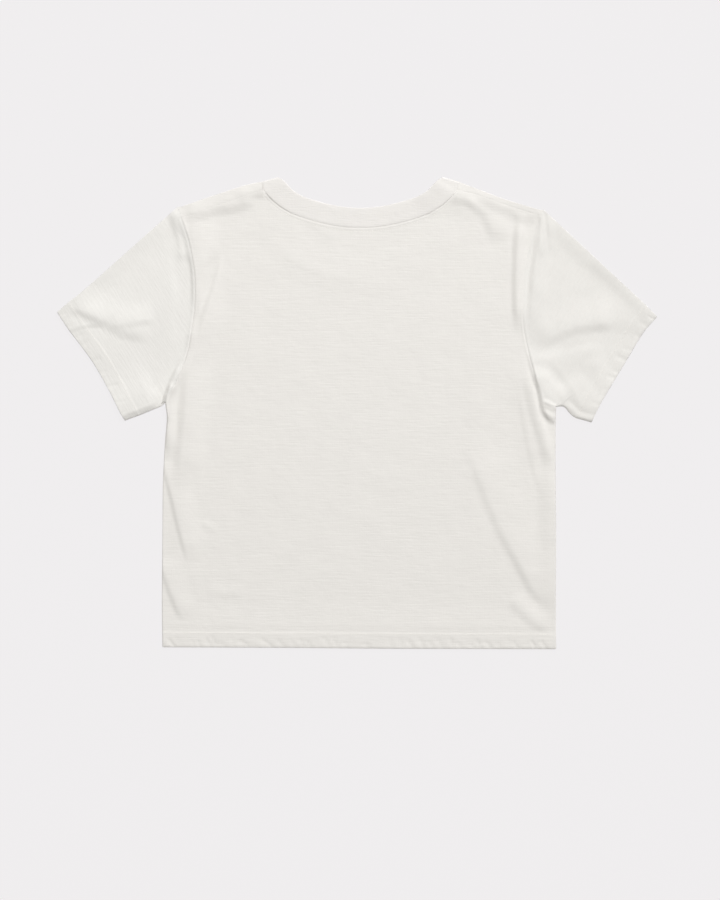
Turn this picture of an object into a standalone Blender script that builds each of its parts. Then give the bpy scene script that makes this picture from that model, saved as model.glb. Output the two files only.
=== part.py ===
"""A short crew-neck t-shirt, laid flat with its back up.

Metres in the scene, +Z up, +Y towards the collar, the wearer's left at -X.
The tables below are in millimetres: x is measured from the middle of the body and
y from the hem's edge, before the whole garment is centred on its origin.
The front panel lies on the ground. The back panel lies on it, and each sleeve is
one flat tube. Every piece is a wall with an outer and an inner face.
"""

from collections import namedtuple

import bmesh
import bpy
import numpy as np

MM = 0.001

# Cloth
WALL = 1.0            # one layer of jersey
HEM_WALL = 1.8        # jersey turned up on itself
RIB_WALL = 2.0        # the doubled neck rib
SEAM_GAP = 0.3        # between two pieces at a seam
LAYER_GAP = 0.6       # between the lower and the upper layer
BODY_HEM = 17.0       # depth of the turned-up hem
CUFF_HEM = 18.0       # depth of the turned-up cuff
HEM_RAMP = 13.0       # the cloth comes down from the thicker hem over this length
EDGE = 2.1            # width of the rounding where the cloth turns over at a fold
FOLD_TOP = 4.7        # outer height of the rib where it folds at the shoulder point

FLAT_TOP = 2 * WALL + LAYER_GAP
SIDE_MIDDLE = WALL + LAYER_GAP / 2
HEM_RISE = 2 * (HEM_WALL - WALL)

Point = namedtuple("Point", "x y")
NeckRow = namedtuple("NeckRow", "seam_x seam_y edge_x edge_y")
Fold = namedtuple("Fold", "name height left right path")

HEM_EDGE = [Point(-220.5, 1.5), Point(-66.5, 0.8), Point(20, 0), Point(220.5, -0.6)]
ARMPIT_LEFT = Point(-217.5, 275)
ARMPIT_RIGHT = Point(220.5, 270.5)
SHOULDER_LEFT = Point(-203, 493.5)
SHOULDER_RIGHT = Point(206.5, 490.5)
SIDE_LEFT = [Point(-220.5, 1.5), Point(-221, 54), Point(-220.5, 121), Point(-220, 178),
             Point(-219, 205), Point(-217.5, 233), Point(-215.5, 258), ARMPIT_LEFT]
SIDE_RIGHT = [Point(220.5, -0.6), Point(220.2, 43), Point(220.5, 121), Point(220, 200),
              Point(220, 244), ARMPIT_RIGHT]

# Armhole seams, from the armpit up to the shoulder seam on the back
ARMHOLE_LEFT = [ARMPIT_LEFT, Point(-210, 289.5), Point(-202, 304), Point(-195, 323),
                Point(-190.5, 340), Point(-187, 362), Point(-184.5, 382), Point(-184, 402),
                Point(-185, 422), Point(-188.5, 444), Point(-192.5, 461), Point(-199.5, 482)]
ARMHOLE_RIGHT = [ARMPIT_RIGHT, Point(211, 273), Point(204.5, 277), Point(201, 284),
                 Point(197.5, 297.5), Point(194.5, 312), Point(191, 325.5), Point(187.5, 340),
                 Point(184.5, 357), Point(183.3, 374), Point(183.7, 390), Point(185, 418),
                 Point(190, 446), Point(196.5, 467), Point(203.5, 484.5)]
# Armhole seams on the hidden front, from the armpit up to the shoulder point
FRONT_ARMHOLE_LEFT = [ARMPIT_LEFT, Point(-201, 292), Point(-186, 322), Point(-178.5, 362),
                      Point(-178, 402), Point(-184, 444), Point(-195, 478), SHOULDER_LEFT]
FRONT_ARMHOLE_RIGHT = [ARMPIT_RIGHT, Point(202, 288), Point(187, 320), Point(179.5, 360),
                       Point(179, 402), Point(185, 442), Point(197, 476), SHOULDER_RIGHT]

# Shoulder seams on the back, and the folded edges above them, towards the neck
NECK_CENTRE = 1.2
NECK_CORNER = NeckRow(109.3, 513.5, 88.3, 526)
SHOULDER_SEAM_LEFT = [Point(-199.5, 482), Point(-184, 486.5), Point(-169.5, 492.5),
                      Point(-151.5, 498.5), Point(-133.5, 504.5), Point(-118, 510),
                      Point(NECK_CENTRE - NECK_CORNER.seam_x, NECK_CORNER.seam_y)]
SHOULDER_SEAM_RIGHT = [Point(203.5, 484.5), Point(180, 491.5), Point(157.5, 499),
                       Point(135, 507), Point(NECK_CENTRE + NECK_CORNER.seam_x,
                                              NECK_CORNER.seam_y)]
NECK_FOLD = NeckRow(110.0, 522.5, 91.2, 528)
SHOULDER_FOLD_LEFT = [SHOULDER_LEFT, Point(-189.5, 498), Point(-178.5, 502),
                      Point(-151.5, 511), Point(-133.5, 517), Point(-118, 521),
                      Point(NECK_CENTRE - NECK_FOLD.seam_x, NECK_FOLD.seam_y)]
SHOULDER_FOLD_RIGHT = [SHOULDER_RIGHT, Point(198, 492.5), Point(180, 497.7), Point(162, 503.3),
                       Point(146.5, 509), Point(126, 517),
                       Point(NECK_CENTRE + NECK_FOLD.seam_x, NECK_FOLD.seam_y)]

# The neck rib, half of it from the shoulder to the middle: its seam and its folded edge
BACK_NECK = [NECK_CORNER, NeckRow(101.5, 505, 82.5, 520.5), NeckRow(90.5, 495.5, 74.5, 512.3),
             NeckRow(76.5, 487, 63, 505.8), NeckRow(59, 480.5, 49.5, 501.3),
             NeckRow(39, 475.3, 33.7, 497.2), NeckRow(19.5, 472, 17, 494.3),
             NeckRow(0, 471, 0, 493.2)]
FRONT_NECK = [NeckRow(110, 520.4, 91.4, 525.8), NeckRow(108, 496.5, 86.2, 500),
              NeckRow(101, 463, 79.5, 467.5), NeckRow(77.5, 433, 63.4, 450),
              NeckRow(39.5, 412.5, 32.7, 433.4), NeckRow(0, 407.5, 0, 429.5)]

# Sleeves, from the body out to the cuff
SLEEVE_FOLD_LEFT = [SHOULDER_LEFT, Point(-212, 487), Point(-303.5, 405.5), Point(-324, 389),
                    Point(-338.5, 376.5)]
SLEEVE_FOLD_RIGHT = [SHOULDER_RIGHT, Point(211.5, 486.5), Point(269.5, 432.5),
                     Point(314.5, 390.3), Point(333.5, 371.5)]
UNDERARM_LEFT = [ARMPIT_LEFT, Point(-222, 271), Point(-231, 267.3), Point(-245.5, 261.3),
                 Point(-262.5, 255)]
UNDERARM_RIGHT = [ARMPIT_RIGHT, Point(227, 271), Point(231, 268.7), Point(235, 263.8),
                  Point(240.5, 259), Point(249, 255.2), Point(260, 253)]
CUFF_LEFT = [Point(-338.5, 376.5), Point(-326, 357.5), Point(-310, 336.5),
             Point(-299.5, 322), Point(-289.5, 305.5), Point(-279, 286.5),
             Point(-268.5, 265.5), Point(-262.5, 255)]
CUFF_RIGHT = [Point(333.5, 371.5), Point(319.5, 355.5), Point(309, 339), Point(294.5, 314.5),
              Point(278, 287.5), Point(267.5, 269), Point(260, 253)]

# How the upper layer rises and falls over the cloth below it. A path runs along each
# form, left and right are its half widths on either side of the path, and a negative
# height is a trough between the forms beside it.
FORMS = [
    Fold("neck opening", -0.5, 34, 34, [(-70, 470), (1, 452), (72, 470)]),
    Fold("left sleeve body", 2.4, 62, 62, [(-176, 415), (-245, 372), (-318, 322)]),
    Fold("left sleeve head", 1.6, 30, 16, [(-196, 482), (-204, 420), (-206, 345)]),
    Fold("left sleeve top trough", -1.8, 7, 9, [(-211, 487), (-207, 463), (-203, 437)]),
    Fold("left armhole groove", -2.2, 8, 7, [(-199, 480), (-188, 446), (-183.5, 408),
                                             (-184, 375), (-190, 340)]),
    Fold("left sleeve ridge", 1.6, 13, 13, [(-333, 386), (-283, 386), (-246, 375),
                                            (-215, 372)]),
    Fold("left sleeve trough", -2.6, 11, 9, [(-322, 366), (-290, 362), (-268, 356),
                                             (-240, 349), (-216, 344)]),
    Fold("left side lift", 2.2, 26, 26, [(-196, 345), (-196, 200), (-199, 80), (-205, 20)]),
    Fold("left side trough", -2.0, 8, 10, [(-189, 326), (-196, 290), (-200, 245),
                                           (-206, 198)]),
    Fold("left side crease", -2.2, 7, 7, [(-219, 202), (-212, 168), (-205, 140), (-201, 115),
                                          (-192, 78)]),
    Fold("left hem crease", -1.8, 7, 7, [(-220, 74), (-211, 54), (-205, 38), (-198, 26)]),
    Fold("right sleeve body", 2.4, 62, 62, [(178, 408), (245, 362), (312, 322)]),
    Fold("right sleeve head", 1.2, 16, 26, [(200, 478), (198, 420), (200, 350)]),
    Fold("right armhole groove", -1.4, 6, 8, [(201, 480), (190, 448), (184, 410), (183.5, 370),
                                              (190, 330)]),
    Fold("right sleeve line", -1.0, 5, 6, [(196, 462), (195, 425), (191, 372)]),
    Fold("right panel groove", -1.8, 6, 7, [(177, 460), (172.5, 425), (172.5, 385),
                                            (177, 350)]),
    Fold("right panel lift", 1.6, 30, 30, [(160, 480), (158, 400), (172, 330)]),
    Fold("right sleeve ridge", 1.8, 14, 14, [(196, 352), (240, 369), (270, 377), (300, 384)]),
    Fold("right sleeve trough", -2.6, 10, 9, [(196, 341), (225, 348), (249, 356), (274, 358),
                                              (300, 353), (322, 350)]),
    Fold("right underarm ridge", 2.2, 8, 9, [(201, 312), (217, 295), (231, 282), (244, 270)]),
    Fold("right underarm trough", -1.8, 8, 7, [(224, 318), (236, 292), (243, 278),
                                               (246, 258)]),
    Fold("right armpit lift", 2.6, 24, 24, [(178, 320), (196, 272), (204, 225), (212, 180)]),
    Fold("right armpit crease", -4.0, 6, 6, [(195, 305), (200.5, 284), (203.5, 266),
                                             (210, 257), (219.5, 250)]),
    Fold("right side trough", -2.0, 9, 8, [(184, 322), (190, 288), (195, 262), (203, 228),
                                           (212, 190)]),
    Fold("right diagonal lift", 2.2, 40, 40, [(128, 232), (168, 150), (200, 70)]),
    Fold("right diagonal trough", -2.4, 8, 12, [(120, 214), (135, 183), (147, 153),
                                                (163, 117), (180, 86), (195, 60), (220, 42)]),
    Fold("right hem ridge", 1.2, 9, 9, [(158, 72), (178, 56), (200, 38)]),
    Fold("right hem trough", -1.6, 7, 8, [(163, 58), (177, 38), (190, 26), (208, 21)]),
    Fold("right shoulder trough", -1.4, 8, 9, [(97, 503), (118, 499), (134, 490),
                                               (150, 468)]),
]
FORM_FADE = 0.22      # share of a path over which a form comes up from nothing
RIB_BELOW = 12.5      # the upper layer lies on the front's neck rib within this of its middle
RIB_RAMP = 12.0
RIB_RISE = 1.1
RIB_ON_RIB = 1.0      # more where the back of the rib lies on the front of it

# Grids: where the columns and rows of each piece lie
BACK_NECK_START = 0.236    # share of the body's width where the neck starts
FRONT_NECK_START = 0.2
ARMHOLE_REACH = 0.24       # share of the body's width over which the armholes bend its columns
SLEEVE_REACH = 0.4         # share of a sleeve over which the armhole bends its rows
EDGE_TURNS = np.radians([0, 45])
HEM_ROWS = [0, 0.25, 0.9, 8.5]
HEM_EDGE_WALL = [0.4, 0.8, 1.0, 1.0]
SLEEVE_SHARES = [0, 0.06, 0.14, 0.24, 0.36, 0.5, 0.64, 0.77, 0.88, 0.95, 1]
STEP = 0.6            # length over which the wall thins above a hem

COLLECTION_NAME = "tshirt"
JERSEY = (0.84, 0.82, 0.78, 1)
RIB = (0.86, 0.84, 0.80, 1)


# --- curves ------------------------------------------------------------------------------

def smooth(points, steps=12):
    """A Catmull-Rom curve through the points, as an array of places along it."""
    known = np.array(points, float)
    known = np.vstack([2 * known[0] - known[1], known, 2 * known[-1] - known[-2]])
    share = np.linspace(0, 1, steps, endpoint=False)[:, None]
    places = []
    for before, start, end, after in zip(known, known[1:], known[2:], known[3:]):
        places.append(start + 0.5 * share * (end - before
                      + share * (2 * before - 5 * start + 4 * end - after
                      + share * (3 * (start - end) + after - before))))
    places.append(known[-2][None, :])
    return np.vstack(places)


def distance(start, end):
    return np.sqrt(((np.asarray(start) - end) ** 2).sum())


def lengths(places):
    """Length along a polyline at each of its places."""
    return np.concatenate([[0], np.cumsum(np.hypot(*np.diff(places, axis=0).T))])


def along(points, shares):
    """Places at the given shares of the length of the curve through the points."""
    places = smooth(points)
    run = lengths(places)
    wanted = np.asarray(shares, float) * run[-1]
    return np.column_stack([np.interp(wanted, run, places[:, axis]) for axis in (0, 1)])


def shifted(places, distance):
    """A polyline moved sideways, to its left where the distance is positive."""
    ahead = np.gradient(places, axis=0)
    ahead /= np.hypot(*ahead.T)[:, None]
    return places + distance * np.column_stack([-ahead[:, 1], ahead[:, 0]])


def mirrored_neck(rows, shares):
    """Seam and folded edge of the neck from its left end to its right end."""
    seam = along([(-row.seam_x, row.seam_y) for row in rows], shares)
    edge = along([(-row.edge_x, row.edge_y) for row in rows], shares)
    halves = []
    for half in (seam, edge):
        other = half[-2::-1] * (-1, 1)
        halves.append(np.vstack([half, other]) + (NECK_CENTRE, 0))
    return halves


def ease(share):
    """Smooth step from 0 to 1."""
    share = np.clip(share, 0, 1)
    return share * share * (3 - 2 * share)


def patch(bottom, top, left, right, reach=1.0):
    """Rows of places between four polylines that meet at their ends.

    The bend of the left and right lines dies out over the given share of the width.
    """
    across = (lengths(bottom) / lengths(bottom)[-1] + lengths(top) / lengths(top)[-1]) / 2
    up = (lengths(left) / lengths(left)[-1] + lengths(right) / lengths(right)[-1]) / 2
    u = across[None, :, None]
    v = up[:, None, None]
    ruled = (1 - v) * bottom[None] + v * top[None]
    bend_left = (left - (1 - up[:, None]) * bottom[0] - up[:, None] * top[0])[:, None]
    bend_right = (right - (1 - up[:, None]) * bottom[-1] - up[:, None] * top[-1])[:, None]
    if reach == 1.0:
        return ruled + (1 - u) * bend_left + u * bend_right
    near_left = ease(1 - u / reach)
    near_right = ease(1 - (1 - u) / reach)
    return ruled + near_left * bend_left + near_right * bend_right


# --- height of the upper layer -----------------------------------------------------------

def nearest(line, places):
    """Distance from each place to a polyline, its side (left is +1) and share along it."""
    run = lengths(line)
    best = np.full(len(places), np.inf)
    side = np.ones(len(places))
    share = np.zeros(len(places))
    for start, end, begun in zip(line, line[1:], run):
        ahead = end - start
        span = np.hypot(*ahead)
        offset = places - start
        part = np.clip(offset @ ahead / span ** 2, 0, 1)
        away = np.hypot(*(offset - part[:, None] * ahead).T)
        closer = away < best
        best[closer] = away[closer]
        side[closer] = np.sign(ahead[0] * offset[closer, 1] - ahead[1] * offset[closer, 0])
        share[closer] = (begun + part[closer] * span) / run[-1]
    return best, side, share


def hem_share(places):
    """1 over the hem and the cuffs, 0 where the cloth is one layer thick."""
    share = np.zeros(len(places))
    for edge, depth in ((HEM_EDGE, BODY_HEM), (CUFF_LEFT, CUFF_HEM), (CUFF_RIGHT, CUFF_HEM)):
        away, _, _ = nearest(smooth(edge, 4), places)
        share = np.maximum(share, ease(1 - (away - depth) / HEM_RAMP))
    return share


def rib_share(places):
    """1 where the upper layer lies on the front's neck rib, 0 away from it."""
    half = [((row.seam_x + row.edge_x) / 2, (row.seam_y + row.edge_y) / 2)
            for row in FRONT_NECK]
    line = [(NECK_CENTRE - x, y) for x, y in half]
    line += [(NECK_CENTRE + x, y) for x, y in half[-2::-1]]
    away, _, _ = nearest(smooth(line, 4), places)
    return ease(1 - (away - RIB_BELOW) / RIB_RAMP)


def top_height(grid):
    """Height of the upper layer's outer face over the ground."""
    places = grid.reshape(-1, 2)
    rise = np.zeros(len(places))
    for form in FORMS:
        away, side, share = nearest(smooth(form.path, 5), places)
        width = np.where(side > 0, form.left, form.right)
        across = 0.5 + 0.5 * np.cos(np.pi * np.clip(away / width, 0, 1))
        ends = ease(np.minimum(share, 1 - share) / FORM_FADE)
        rise += form.height * across * ends
    settled = (rise + np.sqrt(rise ** 2 + 0.2)) / 2
    height = FLAT_TOP + settled + HEM_RISE * hem_share(places)
    return (height + RIB_RISE * rib_share(places)).reshape(grid.shape[:2])


# --- walls -------------------------------------------------------------------------------

def way_in(line, beside, level_rows):
    """The way in from each place of an edge: square to it, or along its level rows."""
    along_row = beside - line
    along_row /= np.hypot(*along_row.T)[:, None]
    square = shifted(line, 1.0) - line
    square *= np.sign((square * along_row).sum(axis=1))[:, None]
    square[level_rows] = along_row[level_rows]
    return square


def with_edges(grid, level_rows):
    """Add columns close to both side edges, and give the way inwards at each column."""
    towards = way_in(grid[:, 0], grid[:, 1], level_rows)
    back = way_in(grid[:, -1], grid[:, -2], level_rows)
    insets = list(EDGE * (1 - np.cos(EDGE_TURNS[1:]))) + [EDGE]
    first = [grid[:, 0] + inset * towards for inset in insets]
    last = [grid[:, -1] + inset * back for inset in reversed(insets)]
    columns = [grid[:, 0]] + first + [grid[:, i] for i in range(1, grid.shape[1] - 1)]
    columns += last + [grid[:, -1]]
    places = np.stack(columns, axis=1)
    inward = np.zeros_like(places)
    for i in range(len(insets)):
        inward[:, i] = towards
        inward[:, -1 - i] = back
    turn = np.full(places.shape[:2], np.pi / 2)
    for i, angle in enumerate(EDGE_TURNS):
        turn[:, i] = angle
        turn[:, -1 - i] = angle
    return places, inward, turn


def two_faces(places, outer_height, inner_height, inward, turn, wall, middle, half_gap):
    """Outer and inner points of a wall that turns over towards its edges.

    A turn of 90 degrees is the flat cloth, and 0 is the edge itself, at the middle height.
    """
    lift = np.sin(turn)
    tuck = np.cos(turn)
    edge_height = middle + half_gap * tuck
    outer = np.dstack([places, edge_height + (outer_height - middle) * lift])
    moved = places + inward * (wall * tuck)[..., None]
    inner = np.dstack([moved, edge_height + (inner_height - middle) * lift])
    return outer, inner


def thin_edge(outer, inner, rows):
    """Round the free edge of a hem: the wall's two faces come together over some rows."""
    for row, share in zip(rows, HEM_EDGE_WALL):
        middle = (outer[row] + inner[row]) / 2
        outer[row] = middle + (outer[row] - middle) * share
        inner[row] = middle + (inner[row] - middle) * share


def add_object(name, mesh, colour, parent):
    """Put a closed bmesh into the scene as a smooth-shaded object."""
    bmesh.ops.recalc_face_normals(mesh, faces=mesh.faces)
    data = bpy.data.meshes.new(name)
    mesh.to_mesh(data)
    mesh.free()
    data.shade_smooth()
    data.set_sharp_from_angle(angle=np.radians(50))
    material = bpy.data.materials.new(name)
    material.use_nodes = True
    shader = material.node_tree.nodes["Principled BSDF"]
    shader.inputs["Base Color"].default_value = colour
    shader.inputs["Roughness"].default_value = 0.92
    shader.inputs["Metallic"].default_value = 0.0
    data.materials.append(material)
    piece = bpy.data.objects.new(name, data)
    piece.parent = parent
    bpy.data.collections[COLLECTION_NAME].objects.link(piece)
    return piece


def add_wall(name, outer, inner, colour, parent, tube=False):
    """Close the outer and inner points into one wall. Points that aren't there are NaN."""
    mesh = bmesh.new()
    rows, columns = outer.shape[:2]
    there = [tuple(cell) for cell in np.argwhere(~np.isnan(outer[..., 0]))]
    skin = {cell: mesh.verts.new(outer[cell] * MM) for cell in there}
    lining = {cell: mesh.verts.new(inner[cell] * MM) for cell in there}
    sides = set()
    for row in range(rows - 1):
        for column in range(columns if tube else columns - 1):
            after = (column + 1) % columns
            cell = [(row, column), (row, after), (row + 1, after), (row + 1, column)]
            if not all(corner in skin for corner in cell):
                continue
            if distance(outer[cell[0]], outer[cell[2]]) > distance(outer[cell[1]], outer[cell[3]]):
                cell = cell[1:] + cell[:1]
            for half in (cell[:3], [cell[0], cell[2], cell[3]]):
                mesh.faces.new([skin[corner] for corner in half])
                mesh.faces.new([lining[corner] for corner in reversed(half)])
            sides.update(zip(cell, cell[1:] + cell[:1]))
    for start, end in sorted(sides):
        if (end, start) not in sides:
            mesh.faces.new([skin[end], skin[start], lining[start], lining[end]])
    return add_object(name, mesh, colour, parent)


# --- shared seam lines -------------------------------------------------------------------

def body_shares(shoulder_count, neck_count):
    """Shares along the shoulder and half of the neck, for the columns of a panel."""
    return np.linspace(0, 1, shoulder_count + 1), np.linspace(0, 1, neck_count + 1)


SHOULDER_SHARES, NECK_SHARES = body_shares(12, 8)
FRONT_SHOULDER_SHARES, FRONT_NECK_SHARES = body_shares(5, 6)
SIDE_SHARES = np.linspace(0, 1, 19)
ARMHOLE_SHARES = np.array([0, 0.035, 0.08, 0.135, 0.2, 0.265, 0.335, 0.405, 0.475, 0.545,
                           0.62, 0.695, 0.77, 0.85, 0.925, 1])
FRONT_ARMHOLE_SHARES = np.array([0, 0.035, 0.13, 0.25, 0.38, 0.51, 0.64, 0.76, 0.86, 0.95, 1])


def back_top():
    """The back panel's top seam, from the left armhole over the neck to the right one."""
    left = along(SHOULDER_SEAM_LEFT, SHOULDER_SHARES)
    neck, _ = mirrored_neck(BACK_NECK, NECK_SHARES)
    right = along(SHOULDER_SEAM_RIGHT[::-1], SHOULDER_SHARES)
    return np.vstack([left, neck[1:], right[1:]])


def row_of(left, right, shoulder_shares, neck_shares, neck_start):
    """A level row across the body, with columns for its shoulders and its neck."""
    neck = np.linspace(neck_start, 1 - neck_start, 2 * len(neck_shares) - 1)
    share = np.concatenate([shoulder_shares * neck_start, neck[1:],
                            (1 - neck_start + shoulder_shares * neck_start)[1:]])
    return left + share[:, None] * (right - left)


def body_below_armpits(shoulder_shares, neck_shares, neck_start, corners):
    """Rows of places from the hem up to the armpits, and how many lie on the hem."""
    rise = np.array(HEM_ROWS + [BODY_HEM, BODY_HEM + STEP, BODY_HEM + HEM_RAMP / 2,
                                BODY_HEM + HEM_RAMP])
    full = ARMPIT_LEFT.y
    above = rise[-1] + (full - rise[-1]) * SIDE_SHARES[1:]
    shares = np.concatenate([rise, above]) / full
    left = along(SIDE_LEFT, shares)
    right = along(SIDE_RIGHT, shares)
    left[-1], right[-1] = corners
    top = row_of(left[-1], right[-1], shoulder_shares, neck_shares, neck_start)
    level = row_of(left[0], right[0], shoulder_shares, neck_shares, neck_start)
    hem = smooth(HEM_EDGE)
    bottom = np.column_stack([level[:, 0], np.interp(level[:, 0], hem[:, 0], hem[:, 1])])
    return patch(bottom, top, left, right), len(HEM_ROWS) + 1


def body_walls(rows, hem_rows):
    """Wall thickness at each row of a panel."""
    wall = np.full(rows, WALL)
    wall[:hem_rows] = HEM_WALL
    return wall


# --- pieces ------------------------------------------------------------------------------

def armhole_of_body(points, shares, sign):
    """An armhole seam as the body has it, half the seam gap inside the line."""
    return shifted(along(points, shares), sign * SEAM_GAP / 2)


def side_middle(places):
    """Height of the side seam, half way up the two layers."""
    share = hem_share(places.reshape(-1, 2)).reshape(places.shape[:2])
    return SIDE_MIDDLE + HEM_RISE / 2 * share


def make_back(parent):
    left = armhole_of_body(ARMHOLE_LEFT, ARMHOLE_SHARES, -1)
    right = armhole_of_body(ARMHOLE_RIGHT, ARMHOLE_SHARES, 1)
    lower, hem_rows = body_below_armpits(SHOULDER_SHARES, NECK_SHARES, BACK_NECK_START,
                                         (left[0], right[0]))
    top = shifted(back_top(), -SEAM_GAP / 2)
    top[0, 0] += SEAM_GAP / 2
    top[-1, 0] -= SEAM_GAP / 2
    left[-1], right[-1] = top[0], top[-1]
    upper = patch(lower[-1], top, left, right, ARMHOLE_REACH)
    places, inward, turn = with_edges(np.vstack([lower, upper[1:]]), slice(None))
    turn[len(lower):] = np.pi / 2
    wall = body_walls(len(places), hem_rows)[:, None]
    height = top_height(places)
    outer, inner = two_faces(places, height, height - wall, inward, turn, wall,
                             side_middle(places), SEAM_GAP / 2)
    thin_edge(outer, inner, range(len(HEM_ROWS)))
    return add_wall("back", outer, inner, JERSEY, parent)


def downward(fold, seam):
    """The way from each place on a shoulder's fold to the seam below it."""
    way = seam - fold
    return way / np.hypot(*way.T)[:, None]


def shoulder_turn(fold, seam, height_of):
    """Rows that take the front over a shoulder fold and down to the shoulder seam."""
    down = downward(fold, seam)
    rows = []
    for turn in np.radians([-90, -45, 0, 45, 90]):
        places = fold + down * EDGE * (1 - np.cos(turn))
        rows.append((places, turn))
    flat = rows[-1][0]
    rows.append(((flat + seam) / 2, np.pi / 2))
    rows.append((seam, np.pi / 2))
    outer, inner = [], []
    for places, turn in rows:
        top = height_of(places[None])[0]
        middle = top / 2
        side = np.sign(turn)
        lift = abs(np.sin(turn))
        outer.append(np.column_stack([places, middle + side * lift * middle]))
        moved = places + down * WALL * np.cos(turn)
        inner.append(np.column_stack([moved, middle + side * lift * (middle - WALL)]))
    return outer, inner


def shoulder_lines(fold_points, seam_points, way):
    """Fold and seam of one shoulder strip, kept off the sleeve and off the neck rib.

    They run in the way given: 1 from the sleeve to the neck, -1 from the neck to the sleeve.
    """
    shares = FRONT_SHOULDER_SHARES
    fold = along(fold_points, shares)
    seam = shifted(along(seam_points, shares), SEAM_GAP / 2)
    for line in (fold, seam):
        line[0, 0] += way * SEAM_GAP / 2
        line[-1, 0] -= way * SEAM_GAP / 2
    return fold, seam


def make_front(parent):
    fold_left, seam_left = shoulder_lines(SHOULDER_FOLD_LEFT, SHOULDER_SEAM_LEFT, 1)
    fold_right, seam_right = shoulder_lines(SHOULDER_FOLD_RIGHT[::-1],
                                            SHOULDER_SEAM_RIGHT[::-1], 1)
    left = armhole_of_body(FRONT_ARMHOLE_LEFT, FRONT_ARMHOLE_SHARES, -1)
    right = armhole_of_body(FRONT_ARMHOLE_RIGHT, FRONT_ARMHOLE_SHARES, 1)
    left[0] = armhole_of_body(ARMHOLE_LEFT, ARMHOLE_SHARES, -1)[0]
    right[0] = armhole_of_body(ARMHOLE_RIGHT, ARMHOLE_SHARES, 1)[0]
    lower, hem_rows = body_below_armpits(FRONT_SHOULDER_SHARES, FRONT_NECK_SHARES,
                                         FRONT_NECK_START, (left[0], right[0]))
    neck, _ = mirrored_neck(FRONT_NECK, FRONT_NECK_SHARES)
    neck = shifted(neck, -SEAM_GAP / 2)
    top = np.vstack([fold_left + EDGE * downward(fold_left, seam_left), neck[1:-1],
                     fold_right + EDGE * downward(fold_right, seam_right)])
    left[-2:] = seam_left[0], top[0]
    right[-2:] = seam_right[-1], top[-1]
    left[1] = armhole_of_body(ARMHOLE_LEFT, ARMHOLE_SHARES, -1)[1]
    right[1] = armhole_of_body(ARMHOLE_RIGHT, ARMHOLE_SHARES, 1)[1]
    upper = patch(lower[-1], top, left, right, ARMHOLE_REACH)
    places, inward, turn = with_edges(np.vstack([lower, upper[1:]]), slice(None))
    turn[len(lower):] = np.pi / 2
    wall = body_walls(len(places), hem_rows)[:, None]
    outer, inner = two_faces(places, 0, wall, inward, turn, wall, side_middle(places),
                             -SEAM_GAP / 2)
    thin_edge(outer, inner, range(len(HEM_ROWS)))

    # the strips over the shoulders, only as wide as the shoulders
    extra_outer = np.full((6,) + outer.shape[1:], np.nan)
    extra_inner = np.full_like(extra_outer, np.nan)
    for fold, seam, at_left in ((fold_left, seam_left, True), (fold_right, seam_right, False)):
        fold_line, seam_line = [edge_columns(line, at_left) for line in (fold, seam)]
        strip_outer, strip_inner = shoulder_turn(fold_line, seam_line, top_height)
        count = len(fold_line)
        span = slice(0, count) if at_left else slice(outer.shape[1] - count, outer.shape[1])
        outer[-1, span], inner[-1, span] = strip_outer[0], strip_inner[0]
        for row in range(6):
            extra_outer[row, span] = strip_outer[row + 1]
            extra_inner[row, span] = strip_inner[row + 1]
    outer = np.vstack([outer, extra_outer])
    inner = np.vstack([inner, extra_inner])
    return add_wall("front", outer, inner, JERSEY, parent)


def edge_columns(line, at_start):
    """A polyline with the extra places that a panel's grid has close to its side."""
    first = line if at_start else line[::-1]
    ahead = first[1] - first[0]
    ahead /= np.hypot(*ahead)
    insets = list(EDGE * (1 - np.cos(EDGE_TURNS[1:]))) + [EDGE]
    full = np.vstack([first[:1], [first[0] + inset * ahead for inset in insets], first[1:]])
    return full if at_start else full[::-1]


def sleeve_plan(armhole, fold, underarm, cuff):
    """Rows of places from the armhole to the cuff, each from the fold to the underarm."""
    run = lengths(armhole) / lengths(armhole)[-1]
    cuff_line = along(cuff, run)
    fold_length = lengths(smooth(fold))[-1]
    under_length = lengths(smooth(underarm))[-1]
    shares = np.array(SLEEVE_SHARES)
    fold_line = along(fold, shares * (1 - (CUFF_HEM + STEP) / fold_length))
    under_line = along(underarm, shares * (1 - (CUFF_HEM + STEP) / under_length))
    fold_line[0], under_line[0] = armhole[0], armhole[-1]
    start, end = fold_line[-1] - cuff_line[0], under_line[-1] - cuff_line[-1]
    inwards = (1 - run[:, None]) * start + run[:, None] * end
    inwards /= CUFF_HEM + STEP
    stitch = cuff_line + inwards * (CUFF_HEM + STEP)
    upper = patch(fold_line, under_line, armhole, stitch, SLEEVE_REACH).transpose(1, 0, 2)
    hem = [cuff_line + inwards * depth for depth in [CUFF_HEM] + HEM_ROWS[::-1]]
    return np.vstack([upper, np.array(hem)])


def sleeve_armhole(body_line, shoulder, sign):
    """The back armhole as the sleeve has it: from the fold over the strip, then down."""
    moved = shifted(along(body_line, ARMHOLE_SHARES), sign * SEAM_GAP / 2)[::-1]
    moved[0] = np.array(body_line[-1]) - (sign * SEAM_GAP / 2, 0)
    start = np.array(shoulder) - (sign * SEAM_GAP / 2, 0)
    return np.vstack([start, moved])


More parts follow.
